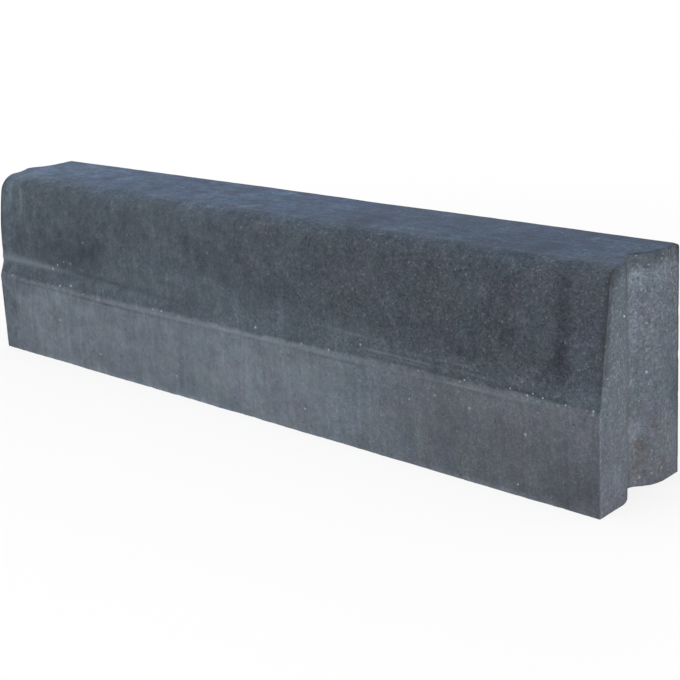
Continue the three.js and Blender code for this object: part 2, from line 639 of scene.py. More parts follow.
@dataclass
class RimShade:
    """The rims of the stone: above 0 where shade is painted on edges that turn away from the light,
    below 0 where they are painted pale, along the foot as a painted reflection of the floor.
    """

    points: Survey
    tongue_rim: Run = (
        (0.0, 0.6), (0.05, 0.6), (0.066, 1.7), (0.088, 1.7), (0.1, 0.9), (0.11, 0.1),
        (0.14, 0.0), (0.155, 0.4), (0.175, 0.95), (0.205, 1.1), (0.225, 1.4),
    )
    floor_reflection_run: Run = (
        (0.04, 0.1), (0.12, 0.6), (0.25, 0.8), (0.4, 1.2), (0.5, 0.4), (0.6, 0.5), (0.72, 0.35),
        (0.86, 1.7), (0.95, 0.95), (0.995, 0.4),
    )
    limit: float = 2.0

    @cached_property
    def on_rear(self) -> np.ndarray:
        """Painted shade along the rear arris."""
        points, height = self.points, self.points.size.height
        on_arris = ease(points.block_up, height - 0.006, height - 0.0032)
        return ease(points.rear_gap, 0.0076, 0.005) * on_arris

    @cached_property
    def on_end(self) -> np.ndarray:
        """Painted shade round the groove end, with a paler line low on its front edge."""
        points, rear, front = self.points, self.points.rear_gap, self.points.front_gap
        rim = 0.9 * ease(rear, 0.0062, 0.0028)
        rim += 0.6 * ease(rear, 0.011, 0.006) * ease(points.up, 0.222, 0.238)
        rim += 0.8 * bell(front, 0.0, 0.009) * ease(points.up, 0.13, 0.19)
        rim -= 0.35 * bell(front, 0.0, 0.0035) * ease(points.up, 0.135, 0.115)
        rim += 0.6 * bell(front, 0.0042, 0.0024) * ease(points.up, 0.13, 0.145)
        return rim * points.on_groove

    @cached_property
    def on_face(self) -> np.ndarray:
        """Painted shade along both ends of the road side, with a painted reflection of the floor
        along its foot.
        """
        points, up = self.points, self.points.up
        wide = ease(up, 0.155, 0.18) * ease(up, 0.222, 0.205)
        tongue = ease(points.along, 0.0065 + 0.005 * wide, 0.001)
        high = ease(up, 0.145, 0.175)
        groove = ease(points.groove_gap, 0.0055 + 0.0055 * high, 0.001)
        rim = read_run(self.tongue_rim, up) * tongue + groove * (0.55 + 0.15 * high)
        rim -= read_run(self.floor_reflection_run, points.along) * ease(up, 0.008, 0.001)
        return rim * points.on_front

    @cached_property
    def rim(self) -> np.ndarray:
        """All rims together."""
        return np.clip(self.on_rear + self.on_end + self.on_face, -self.limit, self.limit)


@dataclass
class Wear:
    """All the wear of the stone: how far its surface stands out and what its finish follows."""

    points: Survey
    broken: np.ndarray
    edge_reach: float = 0.004
    lip_height: float = 0.0007
    ridge_height: float = 0.0014
    scrape_height: float = 0.0006
    pebble_height: float = 0.0005
    dent_depth: float = 0.0005
    rubble_height: float = 0.0012
    deep_wear: float = 0.0012

    def __post_init__(self) -> None:
        """Sets up the wear of each part of the surface."""
        self.ledge = LedgeWear(self.points)
        self.face = FaceWear(self.points, self.ledge.foot)
        self.end = EndWear(self.points)

    @cached_property
    def near_edge(self) -> np.ndarray:
        """How near each point lies to an edge that wears, from 0 to 1."""
        points = self.points
        rounded = points.on_road * ease(points.up, 0.225, 0.235)
        return points.edge_nearness(self.edge_reach) * (1.0 - rounded * (1 - points.on_groove))

    @cached_property
    def worn(self) -> np.ndarray:
        """How deep the edges are worn and chipped."""
        chip = np.clip(self.points.noise(11, 0.012, 3) - 0.2, 0.0, None)
        return self.near_edge**0.7 * (0.0001 + 0.0016 * chip)

    @cached_property
    def shade_and_dark_lines(self) -> np.ndarray:
        """Painted shade under the lip, in the crease, on the groove's turned-away edges and in its
        small holes, with the dark line above the pale foot, from 0 to 1.
        """
        shade_and_dark_lines = 0.55 * self.ledge.lip_shadow + self.ledge.over + 0.65 * self.face.crease
        shade_and_dark_lines += (0.95 * self.end.shaded + 0.5 * self.end.holes) * self.points.on_groove
        return np.clip(shade_and_dark_lines, 0.0, 1.0)

    @cached_property
    def skin(self) -> np.ndarray:
        """The cast skin's own unevenness: swells, roughness, drag marks and brush marks."""
        points = self.points
        swells = 0.00045 * points.noise(1, 0.12) + 0.00028 * points.noise(2, 0.045)
        rough = 0.00016 * points.noise(3, 0.014, 2)
        drag = 0.0002 * points.noise(5, (0.007, 0.007, 0.09)) * self.ledge.foot
        drag += 0.0001 * points.noise(6, (0.009, 0.009, 0.14)) * points.on_front
        brush = 0.00016 * points.noise(7, (0.09, 0.007, 0.007)) * points.on_top
        return swells + rough + drag + brush

    @cached_property
    def crown(self) -> np.ndarray:
        """How far each point belongs to the top, with a mottled border along the front arris."""
        points = self.points
        mottled = 0.009 * points.noise(25, (0.06, 0.03, 0.03), 3)
        crown = ease(points.across + mottled, -0.0555, -0.0335) * points.on_road
        return crown * ease(points.up + 0.4 * mottled, 0.226, 0.248)

    @cached_property
    def relief(self) -> np.ndarray:
        """How far each point stands out along its normal."""
        rubble = self.points.noise(17, 0.0045, 2) * self.rubble_height * self.broken
        relief = self.skin - self.worn + self.lip_height * self.ledge.lip
        relief += self.ridge_height * self.face.ridge + self.scrape_height * self.face.scraped
        relief += self.pebble_height * self.end.pebbles - self.dent_depth * self.shade_and_dark_lines
        return relief + rubble

    @cached_property
    def marks(self) -> dict[str, np.ndarray]:
        """The marks that the finish follows, by name."""
        worn = self.near_edge * 0.6 + self.worn / self.deep_wear
        lip = self.ledge.lip + 0.85 * self.face.ridge + self.face.scraped
        return {
            "foot": self.ledge.foot,
            "crown": self.crown,
            "haze": self.face.haze,
            "broken": self.broken,
            "worn": np.clip(worn, 0.0, 1.0),
            "lip": np.clip(lip, 0.0, 1.0),
            "rim": RimShade(self.points).rim,
            "shade_and_dark_lines": self.shade_and_dark_lines,
            "pebble": self.end.pebbles,
            "speckled": self.ledge.speckled,
        }


@dataclass
class KerbStone:
    """The cast stone, one piece from end to end."""

    size: KerbSize
    face: RoadFace = field(default_factory=RoadFace)
    wave: JointWave = field(default_factory=JointWave)
    edge: float = 0.0007
    rear_arris: float = 0.0042
    rear_corner: float = 0.0066
    rear_end_arris: float = 0.0009
    coarse_pitch: float = 0.0066
    road_pitch: float = 0.0034
    groove_pitch: float = 0.0017
    squareness: float = 0.72
    straightness: float = 1.000001
    end_band: float = 0.03
    rear_band: float = 0.0105
    ledge_bands: tuple[float, ...] = (-0.013, -0.004, 0.008, 0.032)
    corner_start: float = 0.0055
    corner_end: float = 0.001
    lean_fade: float = 0.03
    climb_reach: float = 0.022
    climb_fade: Ramp = (0.06, 0.02)
    break_start: Ramp = (0.008, 0.018)
    break_end: Ramp = (0.05, 0.038)
    break_grain: float = 0.01
    break_roughness: float = 0.45
    break_rim: float = 0.0008
    break_along: float = 0.002
    break_down: float = 0.0034
    break_shade: float = 3.0
    scuff_down: Ramp = (0.018, 0.006)
    scuff_along: Ramp = (0.003, 0.001)
    scuff_strength: float = 0.8

    def build(self) -> bpy.types.Object:
        """Makes the stone's mesh and its object.

        Returns:
            The finished object, at the origin, with no materials yet.
        """
        mesh = bmesh.new()
        self.make_block(mesh)
        self.cut_grid(mesh)
        data = take_mesh("kerb_stone_cast", mesh)
        self.shape(data)
        return add_object("kerb_stone_cast", data)

    def dress(self, stone: bpy.types.Object) -> None:
        """Gives the stone its finishes, in the order of its kinds of surface."""
        for finish in (RoadConcrete(), EndConcrete(), HiddenConcrete()):
            stone.data.materials.append(finish.material())

    def make_block(self, mesh: bmesh.types.BMesh) -> None:
        """Makes the plain block, with all but its two long top edges eased.

        Args:
            mesh: An empty bmesh, which is filled.
        """
        size = self.size
        sides = (2 * size.half_length, 2 * size.half_width, size.height)
        bmesh.ops.create_cube(mesh, size=1.0)
        bmesh.ops.scale(mesh, vec=sides, verts=mesh.verts)
        bmesh.ops.translate(mesh, vec=(0.0, 0.0, size.height / 2), verts=mesh.verts)
        bmesh.ops.bevel(
            mesh,
            geom=[edge for edge in mesh.edges if not self.is_long_top_edge(edge)],
            offset=self.edge,
            offset_type="OFFSET",
            segments=2,
            profile=0.5,
            affect="EDGES",
            material=-1,
        )
        mesh.normal_update()
        for one in mesh.faces:
            one.smooth = True
            one.material_index = self.side_of(one.normal)

    def is_long_top_edge(self, edge: bmesh.types.BMEdge) -> bool:
        """Says whether an edge of the block is one of the two that run along its top.

        Args:
            edge: The edge.

        Returns:
            True for the two long edges.
        """
        ends = [vert.co for vert in edge.verts]
        level = all(end.z > self.size.height - self.edge for end in ends)
        return level and abs(ends[0].x - ends[1].x) > self.size.half_length

    def side_of(self, normal: Vector) -> Side:
        """Says which kind of surface a face of the block belongs to.

        Args:
            normal: The face's normal.

        Returns:
            The kind of surface.
        """
        if abs(normal.x) > self.squareness:
            return Side.END
        if normal.y < -self.squareness or normal.z > self.squareness:
            return Side.ROAD
        return Side.HIDDEN

    def bands(self) -> dict[Axis, tuple[Band, ...]]:
        """Says where the grid is coarse and where it is fine.

        Returns:
            The stretches along each axis, one after the other.
        """
        coarse = self.coarse_pitch
        length, width, height = self.size.half_length, self.size.half_width, self.size.height
        arris, end, rear = self.face.arris_reach, self.end_band, width - self.rear_band
        below, lip, step, hollow = (self.face.ledge + reach for reach in self.ledge_bands)
        wave_start = self.wave.offset - self.wave.half_width
        wave_end = self.wave.offset + self.wave.half_width
        return {
            Axis.ALONG: (
                Band(-length, -length + end, 0.003),
                Band(-length + end, length - 2 * end, coarse),
                Band(length - 2 * end, length - end, 0.004),
                Band(length - end, length, 0.0025),
            ),
            Axis.ACROSS: (
                Band(-width, -width + arris, 0.0027),
                Band(-width + arris, wave_start, coarse),
                Band(wave_start, wave_end, 0.004),
                Band(wave_end, rear, coarse),
                Band(rear, width, 0.0021),
            ),
            Axis.UP: (
                Band(0.0, below, coarse),
                Band(below, lip, 0.00225),
                Band(lip, step, 0.001),
                Band(step, hollow, 0.00135),
                Band(hollow, height - arris, coarse),
                Band(height - arris, height, 0.0027),
            ),
        }

    def cut_grid(self, mesh: bmesh.types.BMesh) -> None:
        """Cuts the block into a grid, finer on the road side and finest on the groove end.

        Args:
            mesh: The block.
        """
        for axis, bands in self.bands().items():
            self.divide(mesh, axis, bands)
        road = [one for one in mesh.faces if one.material_index == Side.ROAD]
        self.refine(mesh, road, self.road_pitch)
        for pitch in (self.road_pitch, self.groove_pitch):
            ends = [one for one in mesh.faces if one.material_index == Side.END]
            groove_end = [one for one in ends if one.calc_center_median().x > 0.0]
            self.refine(mesh, groove_end, pitch)

    def divide(self, mesh: bmesh.types.BMesh, axis: Axis, bands: Sequence[Band]) -> None:
        """Cuts every face across one axis.

        Args:
            mesh: The block.
            axis: The axis along which the cuts follow each other.
            bands: The stretches between which the pitch changes.
        """
        normal = Vector([1.0 if axis == other else 0.0 for other in Axis])
        for band in bands[1:]:
            bmesh.ops.bisect_plane(
                mesh,
                geom=[*mesh.verts, *mesh.edges, *mesh.faces],
                dist=1e-7,
                plane_co=normal * band.start,
                plane_no=normal,
            )
        for band in bands:
            edges = [edge for edge in mesh.edges if self.lies_in(edge, axis, band)]
            if band.cuts:
                bmesh.ops.subdivide_edges(mesh, edges=edges, cuts=band.cuts)

    def lies_in(self, edge: bmesh.types.BMEdge, axis: Axis, band: Band) -> bool:
        """Says whether an edge runs along an axis and inside a band.

        Args:
            edge: The edge.
            axis: The axis.
            band: The stretch of that axis.

        Returns:
            True where both hold.
        """
        first, last = edge.verts[0].co, edge.verts[1].co
        span = abs(first[axis] - last[axis])
        middle = (first[axis] + last[axis]) / 2
        straight = (first - last).length < span * self.straightness
        return straight and span > self.edge and band.start < middle < band.end

    def refine(
        self, mesh: bmesh.types.BMesh, faces: Sequence[bmesh.types.BMFace], pitch: float
    ) -> None:
        """Halves the long edges of some faces.

        Args:
            mesh: The block.
            faces: The faces.
            pitch: The length above which an edge is halved.
        """
        edges = {edge for one in faces for edge in one.edges}
        long_edges = [edge for edge in edges if edge.calc_length() > pitch]
        bmesh.ops.subdivide_edges(mesh, edges=long_edges, cuts=1, use_grid_fill=True)

    def shape(self, data: bpy.types.Mesh) -> None:
        """Moves the block's vertices to the cast shape and wears its surface.

        Args:
            data: The block as a mesh, which is changed and given its wear attributes.
        """
        flat = np.empty(len(data.vertices) * 3, np.float32)
        data.vertices.foreach_get("co", flat)
        block = flat.reshape(-1, 3).astype(float)
        cast, broken = self.break_groove_edge(block, self.cast(block))
        self.move_points(data, cast)
        data.vertices.foreach_get("normal", flat)
        normals = flat.reshape(-1, 3).astype(float)
        wear = Wear(Survey(self.size, self.face, block, cast), broken)
        cast = cast + normals * wear.relief[:, None]
        cast[:, Axis.UP] = np.clip(cast[:, Axis.UP], 0.0, None)
        self.move_points(data, cast)
        for name, values in wear.marks.items():
            mark = data.attributes.new(name, "FLOAT", "POINT")
            mark.data.foreach_set("value", values.astype(np.float32))

    def move_points(self, data: bpy.types.Mesh, points: np.ndarray) -> None:
        """Gives a mesh's vertices new places."""
        data.vertices.foreach_set("co", points.astype(np.float32).ravel())
        data.update()

    def cast(self, block: np.ndarray) -> np.ndarray:
        """Moves points of the plain block to where the cast stone has them.

        Args:
            block: Points of the block, one a row.

        Returns:
            The same points on the stone.
        """
        size, face = self.size, self.face
        length, full_width = size.half_length, 2 * size.half_width
        x, y, z = block.T.copy()
        along = x + length

        near_groove = ease(x, length - face.end_arris_fade, length)
        reach = face.arris_reach + (face.end_arris_reach - face.arris_reach) * near_groove
        side, top = round_corner(y + size.half_width, size.height - z, reach)
        at_corner = ease(x, length - self.corner_start, length - self.corner_end)
        rear_reach = self.rear_arris + (self.rear_corner - self.rear_arris) * at_corner
        rear, top = round_corner(full_width - side, top, rear_reach)
        end, rear = round_corner(length - x, rear, self.rear_end_arris)
        x = length - end
        side = full_width - rear
        z = size.height - top

        lean = face.depth(along, z, size.height)
        y = side - size.half_width + lean * ease(side, full_width, self.lean_fade)

        climb = read_run(face.ledge_line, along) - face.ledge
        near_face = ease(side, *self.climb_fade)
        z = z + climb * bell(z, face.ledge, self.climb_reach) * near_face

        wave = self.wave
        groove = wave.depth(y, wave.groove_depth, wave.groove_tip_radius)
        clearance = wave.groove_depth - size.tongue_depth
        tongue = wave.depth(y, size.tongue_depth, wave.groove_tip_radius - clearance)
        x = x - groove * ease(x, length - wave.fade, length)
        x = x - tongue * ease(x, wave.fade - length, -length)
        return np.column_stack((x, y, z))

    def break_groove_edge(
        self, block: np.ndarray, cast: np.ndarray
    ) -> tuple[np.ndarray, np.ndarray]:
        """Breaks the top edge of the groove end away to a rough slope.

        Args:
            block: Points of the plain block.
            cast: The same points on the stone.

        Returns:
            The points after the break, and how broken each one is, from 0 to 1.
        """
        x, y, z = cast.T.copy()
        end_gap = self.size.half_length - block[:, Axis.ALONG]
        top_gap = self.size.height - z
        torn = ease(y, *self.break_start) * ease(y, *self.break_end)
        rough = 1.0 + self.break_roughness * CastNoise(31).layers(cast, self.break_grain, 3)
        along_reach = self.edge + (self.break_rim + self.break_along * torn) * rough
        down_reach = self.edge + (self.break_rim + self.break_down * torn) * rough
        left = np.clip(1.0 - end_gap / along_reach - top_gap / down_reach, 0.0, None) / 2
        x = x - along_reach * left
        z = z - down_reach * left
        scuffed = torn * ease(top_gap, *self.scuff_down)
        scuffed = scuffed * ease(end_gap, *self.scuff_along) * self.scuff_strength
        broken = np.clip(left * self.break_shade, 0.0, 1.0) * torn + scuffed
        return np.column_stack((x, y, z)), np.clip(broken, 0.0, 1.0)


class SocketKind(Enum):
    """The kinds of socket on a shared effect."""

    NUMBER = "NodeSocketFloat"
    COLOUR = "NodeSocketColor"
    VECTOR = "NodeSocketVector"

    @classmethod
    def of(cls, default: float | tuple[float, ...]) -> "SocketKind":
        """Says which kind has such a default: a number, three of them, or four for a colour."""
        return {1: cls.NUMBER, 3: cls.VECTOR, 4: cls.COLOUR}[np.size(default)]


class NodeDesk:
    """Places and links the nodes of one material or shared effect."""

    def __init__(self, tree: bpy.types.NodeTree) -> None:
        """Starts work on a node tree."""
        self.tree = tree

    @classmethod
    def clear(cls, owner: bpy.types.Material | bpy.types.World) -> "NodeDesk":
        """Starts work on the emptied node tree of a material or a world.

        Args:
            owner: The material or the world.

        Returns:
            Its desk.
        """
        owner.use_nodes = True
        owner.node_tree.nodes.clear()
        return cls(owner.node_tree)

    def add(
        self, kind: str, inputs: dict[str | int, Value] | None = None, **settings: object
    ) -> bpy.types.Node:
        """Adds a node.

        Args:
            kind: Blender's name for the node.
            inputs: What each input is linked to or set to.
            **settings: The node's own properties.

        Returns:
            The node.
        """
        node = self.tree.nodes.new(kind)
        for name, value in settings.items():
            setattr(node, name, value)
        for name, value in (inputs or {}).items():
            socket = node.inputs[name]
            if isinstance(value, Socket):
                self.tree.links.new(value, socket)
            elif socket.type == "RGBA":
                socket.default_value = (*value[:3], 1.0)
            else:
                socket.default_value = value
        return node

    def math(self, operation: str, first: Value, second: Value) -> Socket:
        """Works out something from two numbers."""
        return self.add("ShaderNodeMath", {0: first, 1: second}, operation=operation).outputs[0]

    def total(self, *values: Value) -> Socket:
        """Adds up several numbers."""
        return reduce(partial(self.math, "ADD"), values)

    def product(self, *values: Value) -> Socket:
        """Multiplies several numbers."""
        return reduce(partial(self.math, "MULTIPLY"), values)

    def spread(
        self, value: Value, low: float, high: float, to_low: Value = 0.0, to_high: Value = 1.0
    ) -> Socket:
        """Maps the range from low to high softly to another one.

        Args:
            value: The number to map.
            low: Where the range starts.
            high: Where it ends.
            to_low: What it starts at after the change.
            to_high: What it ends at.

        Returns:
            The mapped number.
        """
        inputs = {"Value": value, "From Min": low, "From Max": high}
        inputs |= {"To Min": to_low, "To Max": to_high}
        node = self.add("ShaderNodeMapRange", inputs, interpolation_type="SMOOTHSTEP")
        return node.outputs["Result"]

    def blend(self, share: Value, first: Value, second: Value) -> Socket:
        """Goes softly from one number to another as a share goes from 0 to 1."""
        return self.spread(share, 0.0, 1.0, first, second)

    def mix(self, share: Value, first: Value, second: Value) -> Socket:
        """Mixes two colours."""
        inputs = {0: share, 6: first, 7: second}
        return self.add("ShaderNodeMix", inputs, data_type="RGBA").outputs[2]

    def vector(self, operation: str, first: Value, second: Value) -> Socket:
        """Works out a vector or a colour from two others, part by part."""
        inputs = {0: first, 1: second}
        return self.add("ShaderNodeVectorMath", inputs, operation=operation).outputs[0]

    def scale(self, vector: Value, factor: Value) -> Socket:
        """Multiplies a vector or a colour by a number."""
        inputs = {"Vector": vector, "Scale": factor}
        return self.add("ShaderNodeVectorMath", inputs, operation="SCALE").outputs[0]

    def apart(self, first: Value, second: Value = ORIGIN) -> Socket:
        """How far a place lies from another, or from the origin."""
        inputs = {0: first, 1: second}
        return self.add("ShaderNodeVectorMath", inputs, operation="DISTANCE").outputs["Value"]

    def noise(self, place: Value, scale: Value, detail: Value, roughness: Value) -> Sockets:
        """Adds a layered noise and gives its outputs."""
        inputs = {"Vector": place, "Scale": scale, "Detail": detail, "Roughness": roughness}
        return self.add("ShaderNodeTexNoise", inputs).outputs

    def centred(self, noise: Sockets, strength: float) -> Socket:
        """Spreads a noise evenly about zero."""
        return self.product(self.math("SUBTRACT", noise["Fac"], 0.5), strength)

    def cells(self, place: Value, scale: Value) -> tuple[Socket, Sockets]:
        """Lays a loose net of cells.

        Args:
            place: The coordinates.
            scale: How many cells there are to a metre.

        Returns:
            The distance from a cell's middle, and three numbers of the cell's own.
        """
        net = self.add("ShaderNodeTexVoronoi", {"Vector": place, "Scale": scale}).outputs
        chances = self.add("ShaderNodeSeparateColor", {"Color": net["Color"]}).outputs
        return net["Distance"], chances

    def parts(self, place: Socket) -> Sockets:
        """Splits a place into its X, Y and Z."""
        return self.add("ShaderNodeSeparateXYZ", {0: place}).outputs

    def mark(self, name: str) -> Socket:
        """Reads one of the marks that the mesh carries."""
        return self.add("ShaderNodeAttribute", attribute_name=name).outputs["Fac"]


class Effect:
    """A shader node group that several finishes share, with the defaults of its sockets.

    Its first input is always Vector, the coordinates that it follows.
    """

    name: ClassVar[str]
    inputs: ClassVar[dict[str, float | tuple[float, ...]]]
    outputs: ClassVar[dict[str, float | tuple[float, ...]]]

    @classmethod
    def use(cls, desk: NodeDesk, place: Value, **inputs: Value) -> Sockets:
        """Places the group on a desk.

        Args:
            desk: The desk of the tree that uses the group.
            place: The coordinates that the effect follows.
            **inputs: What its other inputs are linked to or set to, named in lower case.

        Returns:
            The group's outputs.
        """
        named = {name.replace("_", " ").title(): value for name, value in inputs.items()}
        named = {"Vector": place, **named}
        return desk.add("ShaderNodeGroup", named, node_tree=cls.tree()).outputs

    @classmethod
    def tree(cls) -> bpy.types.NodeTree:
        """Gives the group, which is built the first time it is asked for.

        Returns:
            The group's node tree.
        """
        known = bpy.data.node_groups.get(cls.name)
        if known:
            return known
        tree = bpy.data.node_groups.new(cls.name, "ShaderNodeTree")
        inputs = {"Vector": ORIGIN, **cls.inputs}
        for direction, sockets in (("INPUT", inputs), ("OUTPUT", cls.outputs)):
            for name, default in sockets.items():
                kind = SocketKind.of(default).value
                socket = tree.interface.new_socket(name, in_out=direction, socket_type=kind)
                socket.default_value = default
        desk = NodeDesk(tree)
        given = desk.add("NodeGroupInput").outputs
        made = desk.add("NodeGroupOutput")
        for name, socket in cls.wire(desk, given).items():
            tree.links.new(socket, made.inputs[name])
        return tree

    @classmethod
    def wire(cls, desk: NodeDesk, given: Sockets) -> dict[str, Socket]:
        """Builds the inside of the group and gives the socket for each output."""
        raise NotImplementedError


class SandGrain(Effect):
    """Grains of sand and small stone that show through the cement skin."""

    name = "sand_grain"
    inputs = {"Grain Size": 0.0034}
    outputs = {"Shade": 0.0, "Height": 0.0}

    @classmethod
    def wire(cls, desk: NodeDesk, given: Sockets) -> dict[str, Socket]:
        """Gives each grain its own shade and a rounded height, in two sizes.

        Args:
            desk: The group's node desk.
            given: The group's inputs.

        Returns:
            The socket for each output.
        """
        density = desk.math("DIVIDE", 1.0, given["Grain Size"])
        distance, own = desk.cells(given["Vector"], density)
        fine = desk.noise(given["Vector"], desk.product(density, 1.7), 1.0, 0.6)
        skewed = desk.math("SUBTRACT", desk.math("POWER", own[0], 1.7), 0.37)
        rounded = desk.spread(distance, 0.1, 0.75, 1.0, 0.25)
        return {
            "Shade": desk.total(desk.product(skewed, rounded, 2.4), desk.centred(fine, 4.0)),
            "Height": desk.total(desk.product(rounded, own[1]), fine["Fac"]),
        }


class Clouding(Effect):
    """Soft cloudy patches in the colour of the cement, from large ones down to mottles."""

    name = "clouding"
    inputs = {"Patch Size": 0.08, "Detail": 4.0, "Roughness": 0.8}
    outputs = {"Shade": 0.0}

    @classmethod
    def wire(cls, desk: NodeDesk, given: Sockets) -> dict[str, Socket]:
        """Spreads a layered noise evenly about zero.

        Args:
            desk: The group's node desk.
            given: The group's inputs.

        Returns:
            The socket for each output.
        """
        density = desk.math("DIVIDE", 1.0, given["Patch Size"])
        noise = desk.noise(given["Vector"], density, given["Detail"], given["Roughness"])
        return {"Shade": desk.centred(noise, 6.0)}


class HueDrift(Effect):
    """A slow drift of the cement's hue, as a factor for each primary."""

    name = "hue_drift"
    inputs = {"Patch Size": 0.035, "Strength": 0.12}
    outputs = {"Factor": (*WHITE, 1.0)}

    @classmethod
    def wire(cls, desk: NodeDesk, given: Sockets) -> dict[str, Socket]:
        """Lets each primary drift by itself about one.

        Args:
            desk: The group's node desk.
            given: The group's inputs.

        Returns:
            The socket for each output.
        """
        density = desk.math("DIVIDE", 1.0, given["Patch Size"])
        noise = desk.noise(given["Vector"], density, 2.0, 0.6)
        drift = desk.scale(noise["Color"], given["Strength"])
        middle = desk.math("SUBTRACT", 1.0, desk.product(given["Strength"], 0.5))
        return {"Factor": desk.vector("ADD", drift, middle)}


class DragStreaks(Effect):
    """Fine streaks where the mould was drawn off the fresh concrete."""

    name = "drag_streaks"
    inputs = {"Width": (0.004, 0.004, 0.05), "Slant": 0.0}
    outputs = {"Shade": 0.0}

    @classmethod
    def wire(cls, desk: NodeDesk, given: Sockets) -> dict[str, Socket]:
        """Stretches a noise along the streaks, with a slant that may change over the face.

        Args:
            desk: The group's node desk.
            given: The group's inputs.

        Returns:
            The socket for each output.
        """
        parts = desk.parts(given["Vector"])
        shifted = desk.total(parts["X"], desk.product(parts["Z"], given["Slant"]))
        place = desk.add("ShaderNodeCombineXYZ", {0: shifted, 1: parts["Y"], 2: parts["Z"]})
        stretched = desk.vector("DIVIDE", place.outputs[0], given["Width"])
        return {"Shade": desk.centred(desk.noise(stretched, 1.0, 2.0, 0.7), 5.0)}


class ScatteredDots(Effect):
    """Separate dots, for pale grit or for pores."""

    name = "scattered_dots"
    inputs = {"Spacing": 0.01, "Dot Size": 0.002, "Share": 0.3}
    outputs = {"Mask": 0.0}

    @classmethod
    def wire(cls, desk: NodeDesk, given: Sockets) -> dict[str, Socket]:
        """Keeps a dot in a share of the cells of a loose net, in uneven sizes.

        Args:
            desk: The group's node desk.
            given: The group's inputs.

        Returns:
            The socket for each output.
        """
        density = desk.math("DIVIDE", 1.0, given["Spacing"])
        distance, chance = desk.cells(given["Vector"], density)
        kept = desk.math("LESS_THAN", chance[0], given["Share"])
        apart = desk.product(distance, given["Spacing"])
        radius = desk.product(given["Dot Size"], desk.blend(chance[1], 0.25, 0.6))
        reach = desk.math("DIVIDE", apart, radius)
        border = {"Value": reach, "From Min": 1.25, "From Max": 0.6, "To Min": 0.0, "To Max": 1.0}
        inside = desk.add("ShaderNodeMapRange", border).outputs["Result"]
        return {"Mask": desk.product(inside, kept)}


class SoftSpot(Effect):
    """A soft patch at one place, for a stain or a worn area."""

    name = "soft_spot"
    inputs = {"Wobble": 0.0, "Centre": ORIGIN, "Reach": (0.05, 0.05, 0.05)}
    outputs = {"Mask": 0.0}

    @classmethod
    def wire(cls, desk: NodeDesk, given: Sockets) -> dict[str, Socket]:
        """Fades out from the centre, with an uneven border.

        Args:
            desk: The group's node desk.
            given: The group's inputs.

        Returns:
            The socket for each output.
        """
        offset = desk.vector("SUBTRACT", given["Vector"], given["Centre"])
        length = desk.apart(desk.vector("DIVIDE", offset, given["Reach"]))
        return {"Mask": desk.spread(desk.total(length, given["Wobble"]), 1.0, 0.1)}


class PaleSpeck(Effect):
    """One crumb of pale grit at one place."""

    name = "pale_speck"
    inputs = {"Centre": ORIGIN, "Radius": 0.0015}
    outputs = {"Mask": 0.0}

    @classmethod
    def wire(cls, desk: NodeDesk, given: Sockets) -> dict[str, Socket]:
        """Marks the points near the centre."""
        apart = desk.apart(given["Vector"], given["Centre"])
        return {"Mask": desk.spread(desk.math("DIVIDE", apart, given["Radius"]), 1.3, 0.5)}


